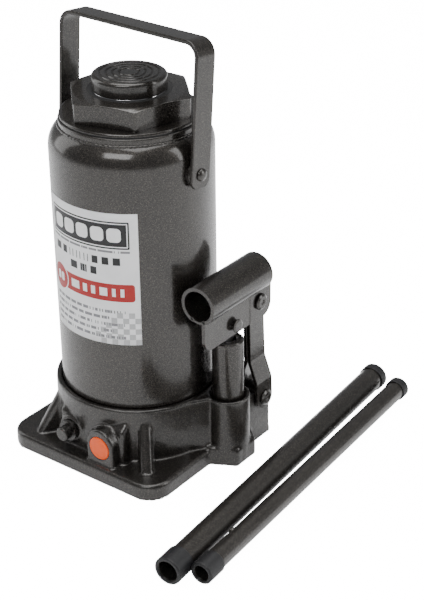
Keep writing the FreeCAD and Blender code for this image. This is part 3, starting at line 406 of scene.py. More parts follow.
@dataclass(frozen=True)
class TurnedMetal:
    """Bare metal with the fine rings of a lathe, round an upright axis."""

    name: str
    shade: tuple[float, float, float] = (0.52, 0.52, 0.52)
    roughness: float = 0.3
    ring_height: float = 0.000004
    oil: float = 0.25

    def make(self) -> bpy.types.Material:
        """Build the material.

        Returns:
            Metal with noise drawn out round the part, and patches of thin oil film.
        """
        r = Recipe(self.name)
        rings = r.noise(1.0, 3.0, 0.6, r.scaled((18.0, 18.0, 4200.0)))
        film = r.ramp(r.noise(45.0, 4.0), 0.42, 0.66)
        shade = rgb(*self.shade)
        dark = rgb(*[c * 0.72 for c in self.shade])
        colour = r.blend(r.math("MULTIPLY", film, self.oil * 2), shade, dark)
        rough = r.ramp(film, 0.0, 1.0, self.roughness + 0.06, self.roughness - 0.08)
        r.feed(Base_Color=colour, Metallic=1.0, Roughness=rough,
               Normal=r.bump(rings, self.ring_height))
        return r.material


@dataclass(frozen=True)
class MouldedPolymer:
    """Rubber or plastic with moulding texture and slight scuffing."""

    name: str
    shade: tuple[float, float, float] = (0.018, 0.018, 0.020)
    roughness: float = 0.45
    grain: float = 0.000012
    scuff: float = 0.35

    def make(self) -> bpy.types.Material:
        """Build the material.

        Returns:
            A polymer whose colour and roughness change a little in scuffed patches.
        """
        r = Recipe(self.name)
        patch = r.ramp(r.noise(160.0, 5.0, 0.62), 0.50, 0.72)
        light = rgb(*[min(1.0, c * 1.35 + 0.008) for c in self.shade])
        colour = r.blend(r.math("MULTIPLY", patch, self.scuff), rgb(*self.shade), light)
        rough = r.ramp(patch, 0.0, 1.0, self.roughness, self.roughness + 0.14)
        fine = r.bump(r.noise(2600.0, 2.0), self.grain)
        r.feed(Base_Color=colour, Roughness=rough,
               Normal=r.bump(r.noise(240.0, 2.0), self.grain * 2.5, normal=fine))
        return r.material


@dataclass(frozen=True)
class PrintedFilm:
    """Ink or bare film of the label, slightly uneven like screen print."""

    name: str
    shade: tuple[float, float, float]
    roughness: float = 0.36

    def make(self) -> bpy.types.Material:
        """Build the material.

        Returns:
            A glossy film with faint mottling and tiny wrinkles.
        """
        r = Recipe(self.name)
        mottle = r.ramp(r.noise(90.0, 4.0), 0.3, 0.7)
        colour = r.blend(mottle, rgb(*self.shade), rgb(*[c * 0.93 for c in self.shade]))
        r.feed(Base_Color=colour, Roughness=self.roughness,
               Normal=r.bump(r.noise(35.0, 2.0), 0.00006))
        return r.material


class Finish(Enum):
    """Every finish of the jack."""

    ENAMEL = FlakeEnamel("flake_enamel")
    ENAMEL_NUT = FlakeEnamel("flake_enamel_nut", flake_cells=2100.0, flake_share=0.38)
    ENAMEL_PRESSED = FlakeEnamel("flake_enamel_pressed", peel=0.000022, roughness=0.36)
    ENAMEL_TUBE = FlakeEnamel("flake_enamel_tube", shade=(0.030, 0.027, 0.024),
                              roughness=0.42, peel=0.00001)
    # The casting carries pale patches of painted highlight.
    CASTING = FlakeEnamel("casting_enamel", shade=(0.018, 0.0155, 0.0135), cast_relief=0.00026,
                          flake_share=0.3, film_roughness=0.2, peel=0.00003, roughness=0.4,
                          painted_highlight=0.12)
    BARE_STEEL = TurnedMetal("bare_steel")
    POLISHED = TurnedMetal("polished_steel", (0.68, 0.68, 0.69), 0.16, 0.0000015, 0.15)
    BRONZE = TurnedMetal("bush_bronze", (0.62, 0.42, 0.20), 0.3)
    COPPER = TurnedMetal("gasket_copper", (0.72, 0.38, 0.22), 0.34)
    RUBBER = MouldedPolymer("black_rubber", (0.016, 0.016, 0.016), 0.62)
    ORANGE = MouldedPolymer("orange_plastic", (0.95, 0.10, 0.0), 0.38, scuff=0.06)
    BLACK = MouldedPolymer("black_plastic", (0.006, 0.006, 0.007), 0.5, scuff=0.2)
    FILM = PrintedFilm("label_film", (0.95, 0.95, 0.96))
    INK_BLACK = PrintedFilm("label_ink_black", (0.008, 0.008, 0.009))
    INK_RED = PrintedFilm("label_ink_red", (0.42, 0.008, 0.005))
    INK_GREY = PrintedFilm("label_ink_grey", (0.24, 0.24, 0.25))
    INK_PALE = PrintedFilm("label_ink_pale", (0.50, 0.50, 0.51))


class Workshop:
    """Makes each finish once and puts it on pieces."""

    def __init__(self) -> None:
        """Start with nothing made."""
        self.made: dict[Finish, bpy.types.Material] = {}

    def material(self, finish: Finish) -> bpy.types.Material:
        """The material of a finish, made on first use."""
        if finish not in self.made:
            self.made[finish] = finish.value.make()
        return self.made[finish]

    def dress(self, obj: bpy.types.Object, finish: Finish) -> None:
        """Give every slot of an object one finish."""
        material = self.material(finish)
        if not obj.material_slots:
            obj.data.materials.append(material)
        for held in obj.material_slots:
            held.material = material


workshop = Workshop()


def settle(obj: bpy.types.Object, body: str, finish: Finish,
           replaces: tuple[str, ...] = ()) -> bpy.types.Object:
    """Dress a piece, tie it to its body and say which CAD nodes it stands for.

    Args:
        obj: The piece.
        body: The body it rides on.
        finish: Its finish.
        replaces: CAD nodes that it hides.

    Returns:
        The same piece.
    """
    workshop.dress(obj, finish)
    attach(obj, body)
    if replaces:
        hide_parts(*replaces)
    log.info("%s: %d faces on %s", obj.name, len(obj.data.polygons), body)
    return obj


@dataclass
class Turned:
    """A part turned about an axis, from an outline of (radius, distance) corners.

    Surface: each rounded outline point (r, h) sweeps a circle of radius r about the
    axis, at the distance h from the origin along it.
    """

    name: str
    outline: list[tuple[float, float]]
    rounding: float
    origin: tuple[float, float, float] = (0.0, 0.0, 0.0)
    axis: tuple[float, float, float] = (0.0, 0.0, 1.0)
    segments: int = 128
    closed: bool = True
    steps: int = 5

    def build(self) -> bpy.types.Object:
        """Make the mesh.

        Returns:
            The turned piece, with its place in its mesh.
        """
        corners = np.array(self.outline)
        radii = np.where(corners[:, 0] < 1e-6, 0.0, self.rounding)
        edges = np.linalg.norm(np.roll(corners, -1, axis=0) - corners, axis=1)
        room = np.minimum(edges, np.roll(edges, 1)) * 0.42
        profile = rounded_outline(corners, np.minimum(radii, room), self.closed, self.steps)
        grid = turned_points(profile, self.segments)
        quads = grid_quads(len(profile), self.segments, self.closed, True)
        points = placed(grid.reshape(-1, 3), axis_matrix(self.origin, self.axis))
        obj = new_object(self.name, points, quads)
        weight_normals(obj)
        return obj


def span(node: str) -> tuple[np.ndarray, np.ndarray]:
    """A CAD node's lowest and highest corners, as arrays."""
    low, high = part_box(node)
    return np.array(low), np.array(high)


def centre_of(node: str) -> np.ndarray:
    """The middle of a CAD node's box."""
    low, high = span(node)
    return (low + high) / 2


# ------------------------------------------------------------------ tank, nut and ram

@dataclass
class OilTank:
    """The drawn steel tank with its shoulder and neck, and what is fixed to it."""

    wall: float = 3.5 * MM
    shoulder: float = 20.0 * MM
    shoulder_start: float = 235.0 * MM
    neck_radius: float = 50.0 * MM
    neck_bore: float = 46.6 * MM
    segments: int = 256
    pad_radius: float = 8.5 * MM
    pad_span: tuple[float, float] = (56.0 * MM, 59.7 * MM)
    rivet_shank: float = 3.0 * MM
    rivet_head: float = 4.5 * MM
    rivet_span: tuple[float, float] = (59.0 * MM, 63.3 * MM)
    dome_rise: float = 2.4 * MM
    bail_skew: float = -3.0
    filler_bearing: float = 120.0

    def shell(self) -> bpy.types.Object:
        """The tank as one turned skin.

        The outline goes up the wall, over the shoulder as an arc
        (c + R cos a, h + R sin a), up the neck, and back down inside.

        Returns:
            The tank.
        """
        low, high = span("reservoir_tank")
        radius = high[0]
        centre = radius - self.shoulder
        outer_end = math.acos((self.neck_radius - centre) / self.shoulder)
        inner_end = math.acos((self.neck_bore - centre) / (self.shoulder - self.wall))
        a = np.linspace(0, outer_end, 26)
        b = np.linspace(inner_end, 0, 14)
        up = np.stack([np.full(10, radius), np.linspace(low[2], self.shoulder_start - 0.002, 10)], 1)
        over = np.stack([centre + self.shoulder * np.cos(a),
                         self.shoulder_start + self.shoulder * np.sin(a)], 1)
        neck = rounded_outline(np.array([[self.neck_radius, over[-1, 1] + 0.0006],
                                         [self.neck_radius, high[2]],
                                         [self.neck_bore, high[2]],
                                         [self.neck_bore, over[-1, 1]]]),
                               [0, 0.0011, 0.0008, 0], False, 6)
        inner = self.shoulder - self.wall
        under = np.stack([centre + inner * np.cos(b), self.shoulder_start + inner * np.sin(b)], 1)
        inside = np.array([[radius - self.wall, self.shoulder_start - 0.004],
                           [radius - self.wall, low[2]]])
        profile = np.concatenate([up, over, neck, under, inside])
        quads = grid_quads(len(profile), self.segments, True, True)
        obj = new_object("tank_shell", turned_points(profile, self.segments), quads)
        weight_normals(obj)
        return obj

    def weld_bead(self) -> bpy.types.Object:
        """The rippled weld round the root of the neck.

        A ring of small radius b carried round the neck; b and its height swell with
        overlapping ripples sin(n a) and sin(m a).

        Returns:
            The bead.
        """
        centre = span("reservoir_tank")[1][0] - self.shoulder
        end = math.acos((self.neck_radius - centre) / self.shoulder)
        height = self.shoulder_start + self.shoulder * math.sin(end)
        a = np.linspace(0, TAU, 720, endpoint=False)[:, None]
        b = np.linspace(0, TAU, 12, endpoint=False)[None, :]
        size = 0.0010 + 0.00010 * np.sin(91 * a) + 0.00009 * np.sin(37 * a + 1.3)
        r = self.neck_radius + 0.0001 + size * np.cos(b)
        z = height - 0.0001 + size * np.sin(b) + 0 * a
        points = np.stack([r * np.cos(a), r * np.sin(a), z], axis=-1)
        obj = new_object("tank_neck_weld", points, grid_quads(720, 12, True, True))
        return obj

    def pads_and_rivets(self) -> None:
        """The welded pads and domed rivets of the bail, one pair on each side."""
        height = float(centre_of("bail_rivets")[2])
        skew = math.radians(self.bail_skew)
        out = np.array([math.cos(skew), math.sin(skew), 0.0])
        pads, rivets = [], []
        for side, tag in ((-1, "left"), (1, "right")):
            axis = tuple(out * side)
            start = (0.0, 0.0, height)
            inner, outer = self.pad_span
            outline = [(0, inner), (self.pad_radius, inner), (self.pad_radius, outer), (0, outer)]
            pad = Turned(f"bail_pad_{tag}", outline, 0.0009, start, axis, 64, False).build()
            seat, rim = self.rivet_span
            dome = [(self.rivet_head * math.cos(t), rim + self.dome_rise * math.sin(t))
                    for t in np.linspace(0, math.pi / 2, 12)]
            dome[-1] = (0.0, rim + self.dome_rise)
            outline = [(0, seat), (self.rivet_shank, seat), (self.rivet_shank, rim)] + dome
            rivet = Turned(f"bail_rivet_{tag}", outline, 0.0002, start, axis, 64, False).build()
            pads.append(pad)
            rivets.append(rivet)
        for pad in pads:
            settle(pad, "jack", Finish.ENAMEL, ("bail_lugs",))
        for rivet in rivets:
            settle(rivet, "jack", Finish.ENAMEL_PRESSED, ("bail_rivets",))

    def filler(self) -> bpy.types.Object:
        """The rubber filler plug: a shallow dome with a pull lip.

        Returns:
            The plug.
        """
        angle = math.radians(self.filler_bearing)
        axis = (math.cos(angle), math.sin(angle), 0.0)
        radius = span("reservoir_tank")[1][0]
        z = float(centre_of("filler_plug")[2])
        outline = [(0, radius - 0.006), (0.0045, radius - 0.006), (0.0045, radius - 0.0002),
                   (0.0080, radius + 0.0004), (0.0080, radius + 0.0017), (0.0066, radius + 0.0020),
                   (0.0052, radius + 0.0028), (0, radius + 0.0028)]
        return Turned("filler_plug_rubber", outline, 0.0005, (0.0, 0.0, z), axis, 72, False).build()

    def build(self) -> None:
        """Build and dress the tank and its fittings."""
        settle(self.shell(), "jack", Finish.ENAMEL, ("reservoir_tank",))
        settle(self.weld_bead(), "jack", Finish.ENAMEL)
        self.pads_and_rivets()
        settle(self.filler(), "jack", Finish.RUBBER, ("filler_plug",))


@dataclass
class GlandNut:
    """The hexagonal top nut with its flange and skirt."""

    apothem: float = 39.5 * MM
    turn: float = -46.0
    sharpness: float = 60.0
    crown: float = 39.1 * MM
    chamfer: float = 15.0
    flange: float = 49.0 * MM
    skirt: float = 46.0 * MM
    thread: float = 41.1 * MM
    hex_height: float = 15.3 * MM
    flange_height: float = 2.0 * MM
    mouth: float = 28.88 * MM
    ram_bore: float = 25.55 * MM
    segments: int = 480

    def hex_radius(self, a: np.ndarray) -> np.ndarray:
        """Radius of the hexagon at angles a.

        apothem / (sum over the six flats of max(cos(a - flat), 0)^p)^(1/p): a hexagon
        whose corners are rounder for a smaller p.
        """
        flats = np.radians(self.turn + 30 + 60 * np.arange(6))
        lobes = np.maximum(np.cos(a[:, None] - flats[None, :]), 0) ** self.sharpness
        return self.apothem / lobes.sum(axis=1) ** (1 / self.sharpness)

    def build(self) -> None:
        """Build and dress the nut.

        Rows with hexness 1 take the smooth minimum of the hexagon and of the crown
        cone; rows with hexness 0 are circles.
        """
        low, high = span("top_nut")
        top = float(high[2])
        flange_top = top - self.hex_height
        flange_low = flange_top - self.flange_height
        a = np.arange(self.segments) * (TAU / self.segments)
        hexagon = self.hex_radius(a)
        slope = 1 / math.tan(math.radians(self.chamfer))
        circle = rounded_outline(
            np.array([[self.thread, low[2]], [self.skirt, low[2]], [self.skirt, flange_low],
                      [self.flange, flange_low], [self.flange, flange_top]]),
            [0.0006, 0.0010, 0.0, 0.0005, 0.0007], False, 5)
        ledge = np.array([[self.flange - 0.0012, flange_top], [0.0468, flange_top]])
        sides = np.concatenate([[flange_top, flange_top + 0.0003, flange_top + 0.0010],
                                np.linspace(flange_top + 0.003, top - 0.0042, 4),
                                np.linspace(top - 0.0038, top - 0.00035, 12), [top - 0.0001, top]])
        tuck = np.zeros(len(sides))
        tuck[-2:] = (0.00022, 0.0006)
        tuck[0] = 0.0004
        rows = []
        for r, z in np.concatenate([circle, ledge]):
            rows.append(np.stack([np.full_like(a, r), np.full_like(a, z)], 1))
        for z, inset in zip(sides, tuck):
            cone = self.crown + (top - z) * slope
            k = 0.00035
            h = np.clip(0.5 + 0.5 * (cone - hexagon) / k, 0, 1)
            r = cone * (1 - h) + hexagon * h - k * h * (1 - h)
            rows.append(np.stack([r - inset, np.full_like(a, z)], 1))
        bore = rounded_outline(
            np.array([[0.0335, top], [self.mouth, top], [self.mouth, top - 0.004],
                      [self.ram_bore, top - 0.004], [self.ram_bore, 0.257],
                      [self.thread, 0.257], [self.thread, low[2] + 0.002]]),
            [0, 0.0006, 0, 0.0002, 0.0002, 0, 0], False, 4)
        for r, z in bore:
            rows.append(np.stack([np.full_like(a, r), np.full_like(a, z)], 1))
        grid = np.stack(rows)
        points = np.stack([grid[..., 0] * np.cos(a), grid[..., 0] * np.sin(a), grid[..., 1]], -1)
        obj = new_object("gland_nut", points, grid_quads(len(rows), self.segments, True, True))
        weight_normals(obj)
        settle(obj, "jack", Finish.ENAMEL_NUT, ("top_nut",))


@dataclass
class RamAndSaddle:
    """The ram rod and its ridged load cap."""

    grooves: tuple[float, ...] = (7.0 * MM, 11.5 * MM, 16.0 * MM, 20.5 * MM)
    groove_half: float = 1.15 * MM
    groove_depth: float = 0.9 * MM
    cap_radius: float = 26.0 * MM
    rim_round: float = 2.6 * MM
    face_radius: float = 23.2 * MM
    spigot: float = 16.0 * MM
    spigot_room: float = 7.4 * MM
    ram_radius: float = 25.5 * MM
    tail_top: float = 52.0 * MM

    def saddle(self) -> bpy.types.Object:
        """The load cap.

        Its top falls by depth * (1 - ((r - g) / half)^2)^2 inside each groove g and by
        the rounding of the rim.

        Returns:
            The cap.
        """
        low, high = span("saddle")
        top = high[2]
        r = np.linspace(0, self.face_radius, 160)
        offset = (r[:, None] - np.array(self.grooves)[None, :]) / self.groove_half
        dip = np.where(np.abs(offset) < 1, (1 - offset ** 2) ** 2, 0).sum(axis=1)
        face = np.stack([r, top - self.groove_depth * dip], 1)
        corners = np.array([[self.face_radius, top], [self.cap_radius, top],
                            [self.cap_radius, low[2]], [self.spigot, low[2]]])
        side = rounded_outline(corners, [0, self.rim_round, 0.0005, 0], False, 10)
        roof = low[2] + self.spigot_room
        inner = np.array([[self.spigot, roof], [0.0, roof]])
        profile = np.concatenate([face, side[1:], inner])
        grid = turned_points(profile, 192)
        obj = new_object("saddle_cap", grid, grid_quads(len(profile), 192, False, True))
        weight_normals(obj)
        return obj

    def build(self) -> None:
        """Build and dress the ram and its cap."""
        settle(self.saddle(), "ram_group", Finish.ENAMEL_PRESSED, ("saddle",))
        low, high = span("ram")
        seat = float(span("saddle")[0][2])
        neck = self.spigot - 0.05 * MM
        outline = [(0, low[2]), (self.spigot, low[2]), (self.spigot, self.tail_top),
                   (self.ram_radius, self.tail_top), (self.ram_radius, seat), (neck, seat),
                   (neck, high[2]), (0, high[2])]
        rod = Turned("ram_rod", outline, 0.0006, segments=160, closed=False).build()
        settle(rod, "ram_group", Finish.POLISHED, ("ram",))
        log.info("ram from %.3f to %.3f m", low[2], high[2])


@dataclass
class CarryBail:
    """The flat strap bail, round its two rivets."""

    inner_half: float = 60.0 * MM
    strap: float = 3.0 * MM
    width: float = 18.0 * MM
    rise: float = 88.0 * MM
    tail: float = 9.5 * MM
    bend: float = 8.0 * MM
    lean: float = 5.0
    skew: float = -3.0

    def build(self) -> None:
        """Build and dress the bail: a strap along a U path, with round ends.

        Half the width near each end is sqrt(e^2 - (e - s)^2) short of the tip by s, so
        each end is a half circle flattened to the strap's width.
        """
        mid = self.strap / 2
        x = self.inner_half + mid
        top = self.rise + mid
        corners = np.array([[-x, -self.tail], [-x, top], [x, top], [x, -self.tail]])
        path = rounded_outline(corners, [0, self.bend + mid, self.bend + mid, 0], False, 14)
        fine = []
        for start, end in zip(path[:-1], path[1:]):
            length = float(np.linalg.norm(end - start))
            count = 3 if length < 0.003 else 46
            t = np.linspace(0, 1, count, endpoint=False)
            if length >= 0.003:
                t = (1 - np.cos(math.pi * np.linspace(0, 1, count, endpoint=False))) / 2
            fine.append(start + t[:, None] * (end - start))
        path = np.concatenate(fine + [path[-1:]])
        run = np.concatenate([[0], np.cumsum(np.linalg.norm(np.diff(path, axis=0), axis=1))])
        to_tip = np.minimum(run, run[-1] - run)
        ear = self.width / 2 * 0.72
        near = np.clip(to_tip / ear, 0, 1)
        half = self.width / 2 - ear * 0.8 + ear * 0.8 * np.sqrt(1 - (1 - near) ** 2)
        grid = strap_sections(path, half, self.strap, 0.0007)
        pivot = np.array([0, 0, centre_of("bail_rivets")[2]])
        turn = (Matrix.Rotation(math.radians(self.skew), 4, "Z")
                @ Matrix.Translation(Vector(pivot))
                @ Matrix.Rotation(math.radians(-self.lean), 4, "X"))
        points = placed(grid.reshape(-1, 3), turn).reshape(grid.shape)
        settle(tube_mesh("bail_strap", points), "bail", Finish.ENAMEL_PRESSED,
               ("carry_bail",))


# ------------------------------------------------------------------ pump and link

@dataclass
class Pump:
    """Pump barrel and the rolled handle socket over it and over the plunger, which keeps its CAD
    shape.
    """

    x: float = 73.5 * MM
    y: float = 10.7 * MM
    bore: float = 11.3 * MM
    wall: float = 2.6 * MM
    leg_wall: float = 3.0 * MM
    gap_front: float = 3.1 * MM
    gap_rear: float = 3.5 * MM
    step_at: float = 27.5 * MM
    step_run: float = 3.0 * MM
    front_round: float = 9.0 * MM
    rear_round: float = 10.0 * MM
    tube_end: float = 46.0 * MM
    left_start: float = -9.6 * MM
    lip_end: float = -7.6 * MM
    lip_half_angle: float = 0.37
    lip_play: float = 0.2 * MM
    sheet_edge: float = 0.5 * MM
    lip_edge: float = 0.4 * MM
    leg_columns: int = 14
    flare_columns: int = 8
    tube_columns: int = 35

    def stations(self, low_y: float, high_y: float) -> np.ndarray:
        """Places along Y that have a section, closer together at the rounds and the step.

        Args:
            low_y: The mouth.
            high_y: The rear end of the legs.

        Returns:
            The places, as one column.
        """
        ease = 1.6
        step, late = self.step_at - low_y, self.left_start - low_y
        places = np.concatenate([
            np.linspace(0, 1, 16) ** ease * self.front_round,
            late + np.linspace(-0.5, 0.5, 3) * MM,
            late + np.linspace(0, 1, 12) ** ease * self.front_round,
            np.linspace(self.front_round, step, 10),
            step + np.linspace(0, self.step_run, 10),
            np.linspace(self.step_at + self.step_run, high_y - self.rear_round, 6) - low_y,
            high_y - low_y - np.linspace(1, 0, 18) ** ease * self.rear_round])
        return (np.unique(np.round(places, 7)) + low_y)[:, None]

    def leg_floors(self, y: np.ndarray, low: np.ndarray, high: np.ndarray, axis_z: float,
                   depth: float) -> tuple[np.ndarray, np.ndarray]:
        """Lower ends of the two legs, from the tube's axis: level, with a round at each end.

        A round of radius R lifts the end by R (1 - sqrt(1 - t^2)), t from 0 to 1 over it.

        Args:
            y: Places along Y.
            low: The socket's lowest corner.
            high: Its highest corner.
            axis_z: Height of the tube's axis.
            depth: Where the legs leave the tube.

        Returns:
            The floor of the right leg and that of the left one, which starts further back.
        """
        def lift(t: np.ndarray, radius: float) -> np.ndarray:
            """Height of a round at t, clipped to its run."""
            return radius * (1 - np.sqrt(1 - np.clip(t, 0, 1) ** 2))

        level = low[2] - axis_z
        floor = (level + lift((low[1] + self.front_round - y) / self.front_round, self.front_round)
                 + lift((y - high[1] + self.rear_round) / self.rear_round, self.rear_round))
        late = (self.left_start + self.front_round - y) / self.front_round
        left = np.maximum(floor, level + lift(late, self.front_round))
        return floor, np.where(y < self.left_start, depth - 0.0009, left)

    def right_half(self, leg: np.ndarray, floor: np.ndarray, radius: float,
                   depth: float) -> np.ndarray:
        """Centre line of the sheet up the right leg, over a Bezier flare and to the top.

        Args:
            leg: Distance of the leg's middle from the pump's centre line.
            floor: Lower end of the leg.
            radius: Radius of the sheet's middle.
            depth: Height at which the flare starts.

        Returns:
            Points as a grid: place along Y, place along the line, (x, z).
        """
        rise = np.linspace(0, 1, self.leg_columns)[None, :]
        straight = np.stack([leg + 0 * rise, floor + (depth - floor) * rise], -1)
        end = np.arcsin(np.clip(leg / radius, 0, 0.98)) + math.radians(13)
        pull = 0.0032
        c0 = np.stack([leg, depth + 0 * leg], -1)
        c1 = c0 + np.array([0, pull])
        c3 = np.stack([radius * np.sin(end), -radius * np.cos(end)], -1)
        c2 = c3 - pull * np.stack([np.cos(end), np.sin(end)], -1)
        f = np.linspace(0, 1, self.flare_columns + 1)[None, 1:, None]
        bent = ((1 - f) ** 3 * c0 + 3 * (1 - f) ** 2 * f * c1 + 3 * (1 - f) * f ** 2 * c2
                + f ** 3 * c3)
        t = end + (math.pi - end) * np.linspace(0, 1, self.tube_columns + 1)[None, 1:]
        arc = np.stack([radius * np.sin(t), -radius * np.cos(t)], -1)
        return np.concatenate([straight, bent, arc], axis=1)

    def socket(self) -> bpy.types.Object:
        """The socket: one sheet rolled round the handle, ending in two stepped legs.

        The sheet's centre line runs up a leg, round the circle x = R sin t,
        z = -R cos t for t from a to 2 pi - a, and down the other leg, where
        sin a = leg / R; the skin is that line moved half the wall each way along its
        normal. The legs' spacing and their lower end depend on y.

        Returns:
            The socket.
        """
        low, high = span("handle_socket")
        axis_z = high[2] - self.bore - self.wall
        radius = self.bore + self.wall / 2
        depth = -radius * 0.93
        y = self.stations(low[1], high[1])
        blend = np.clip((y - self.step_at) / self.step_run, 0, 1)
        blend = blend * blend * (3 - 2 * blend)
        leg = (self.gap_front + (self.gap_rear - self.gap_front) * blend) + self.leg_wall / 2
        floor, left_floor = self.leg_floors(y, low, high, axis_z, depth)
        right = self.right_half(leg, floor, radius, depth)
        left = right[:, -2::-1] * np.array([-1, 1])
        rise = np.linspace(0, 1, self.leg_columns)[None, :]
        left[:, -self.leg_columns:, 1] = (left_floor + (depth - left_floor) * rise)[:, ::-1]
        line = np.concatenate([right, left], axis=1)
        share = np.concatenate([np.zeros(self.leg_columns),
                                np.linspace(0, 1, self.flare_columns) ** 2,
                                np.ones(self.tube_columns)])
        share = np.concatenate([share, share[-2::-1]])[None, :]
        squeeze = (self.tube_end - low[1]) / (high[1] - low[1])
        y_line = low[1] + (y - low[1]) * (1 + (squeeze - 1) * share)
        along = unit(np.gradient(line, axis=1))
        normal = np.stack([along[..., 1], -along[..., 0]], axis=-1) * (self.wall / 2)
        ring = np.concatenate([line + normal, (line - normal)[:, ::-1]], axis=1)
        y_ring = np.concatenate([y_line, y_line[:, ::-1]], axis=1)
        points = np.stack([ring[..., 0] + self.x, y_ring, ring[..., 1] + axis_z], axis=-1)
        rows, cols = points.shape[:2]
        cap = strip_cap(cols)
        quads = np.concatenate([grid_quads(rows, cols, False, True), cap, cap + (rows - 1) * cols])
        obj = new_object("socket_shell", points, quads)
        soften_edges(obj, self.sheet_edge, 50)
        return obj

    def lip(self) -> bpy.types.Object:
        """The strip that closes the bottom of the socket's mouth, between the legs.

        Returns:
            The strip, a ring sector of the tube's own bore and wall.
        """
        low, high = span("handle_socket")
        axis_z = high[2] - self.bore - self.wall
        t = np.linspace(-self.lip_half_angle, self.lip_half_angle, 20)
        arc = np.stack([np.sin(t), -np.cos(t)], -1)
        skin = np.concatenate([arc * (self.bore + self.wall - self.lip_play),
                               arc[::-1] * (self.bore + self.lip_play)])
        cols = len(skin)
        rows = np.linspace(low[1] + self.lip_play, self.lip_end, 8)
        points = np.stack([np.concatenate([skin[:, :1] + self.x, np.full((cols, 1), y),
                                           skin[:, 1:] + axis_z], axis=1) for y in rows])
        cap = strip_cap(cols)
        quads = np.concatenate([grid_quads(len(rows), cols, False, True), cap,
                                cap + (len(rows) - 1) * cols])
        obj = new_object("socket_lip", points, quads)
        soften_edges(obj, self.lip_edge, 30)
        return obj

    def barrel(self) -> bpy.types.Object:
        """The pump barrel with its chamfered lip.

        Returns:
            The barrel.
        """
        low, high = span("pump_cylinder")
        radius = (high[0] - low[0]) / 2
        outline = [(0.00605, low[2]), (radius, low[2]), (radius, high[2] - 0.001),
                   (radius - 0.001, high[2]), (0.0066, high[2]), (0.00605, high[2] - 0.0005)]
        return Turned("pump_barrel", outline, 0.0004, (self.x, self.y, 0.0), segments=96).build()

    def build(self) -> None:
        """Build and dress the pump's visible pieces."""
        settle(self.socket(), "socket", Finish.ENAMEL_PRESSED, ("handle_socket",))
        settle(self.lip(), "socket", Finish.ENAMEL_PRESSED)
        settle(self.barrel(), "jack", Finish.ENAMEL_PRESSED, ("pump_cylinder",))


@dataclass
class CrossPin:
    """A pin across X with a head at each end; a dimple marks each head's centre."""

    name: str
    node: str
    body: str
    shank: float
    head: float
    head_height: float
    dimple: float = 0.0

    def build(self) -> None:
        """Build and dress the pin: one outline turned about the pin's own axis."""
        low, high = span(self.node)
        middle = (low + high) / 2
        half = (high[0] - low[0]) / 2
        h, d = self.head_height, self.dimple
        crown = h * 0.45
        right = [(self.shank, half - h), (self.head, half - h), (self.head, half - crown),
                 (self.head * 0.72, half), (self.head * 0.34, half), (self.head * 0.2, half - d)]
        left = [(r, -z) for r, z in right[::-1]]
        outline = [(0, -half + d)] + left + right + [(0, half - d)]
        piece = Turned(self.name, outline, h * 0.22, tuple(middle), (1.0, 0.0, 0.0), 72,
                       False).build()
        settle(piece, self.body, Finish.ENAMEL_PRESSED, (self.node,))


@dataclass
class Link:
    """The two cranked straps that anchor the socket to the lug, and their pins."""

    thickness: float = 3.0 * MM
    near: float = 0.1 * MM
    far: float = 5.7 * MM
    bend_low: float = 50.0 * MM
    bend_high: float = 67.0 * MM
    top: tuple[float, float] = (41.1 * MM, 117.1 * MM)
    foot: tuple[float, float] = (44.7 * MM, 36.1 * MM)
    top_reach: float = 8.6 * MM
    foot_reach: float = 9.4 * MM

    def strap(self, side: int, x: float) -> bpy.types.Object:
        """One strap: flat above, cranked outwards below, with a round end at each pin.

        Args:
            side: -1 for the strap towards the tank, 1 for the outer one.
            x: The pump's centre line.

        Returns:
            The strap.
        """
        mid = self.thickness / 2
        low, high = self.foot[1] - self.foot_reach, self.top[1] + self.top_reach
        corners = np.array([[self.far + mid, low], [self.far + mid, self.bend_low + 0.0005],
                            [self.near + mid, self.bend_high + 0.0005], [self.near + mid, high]])
        path = rounded_outline(corners, [0, 0.006, 0.006, 0], False, 9)
        keys = np.linspace(0, 1, 90)
        keys = (1 - np.cos(math.pi * keys)) / 2
        run = np.concatenate([[0], np.cumsum(np.linalg.norm(np.diff(path, axis=0), axis=1))])
        path = np.stack([np.interp(keys * run[-1], run, path[:, k]) for k in (0, 1)], 1)
        z = path[:, 1]
        share = (z - self.foot[1]) / (self.top[1] - self.foot[1])
        middle = self.foot[0] + (self.top[0] - self.foot[0]) * share
        reach = self.foot_reach + (self.top_reach - self.foot_reach) * np.clip(share, 0, 1)
        below = np.clip(self.foot[1] - z, 0, None)
        above = np.clip(z - self.top[1], 0, None)
        half = np.sqrt(np.maximum(reach ** 2 - below ** 2 - above ** 2, (0.0012) ** 2))
        grid = strap_sections(path, half, self.thickness, 0.0006)
        grid[..., 0] = x + side * grid[..., 0]
        grid[..., 1] += middle[:, None]
        tag = "inner" if side < 0 else "outer"
        return tube_mesh(f"link_strap_{tag}", grid)

    def build(self, x: float) -> None:
        """Build and dress the straps and the three pins of the linkage."""
        for side, node in ((-1, "link_plate_left"), (1, "link_plate_right")):
            settle(self.strap(side, x), "link", Finish.ENAMEL_PRESSED, (node,))
        CrossPin("pin_link_foot", "link_lower_pin", "link", 0.0045, 0.0062, 0.0020, 0.0008).build()
        CrossPin("pin_link_top", "link_upper_pin", "link", 0.0045, 0.0062, 0.0022, 0.0009).build()
        CrossPin("pin_plunger", "plunger_pin", "socket", 0.0040, 0.0052, 0.0012).build()


# ------------------------------------------------------------------ base casting

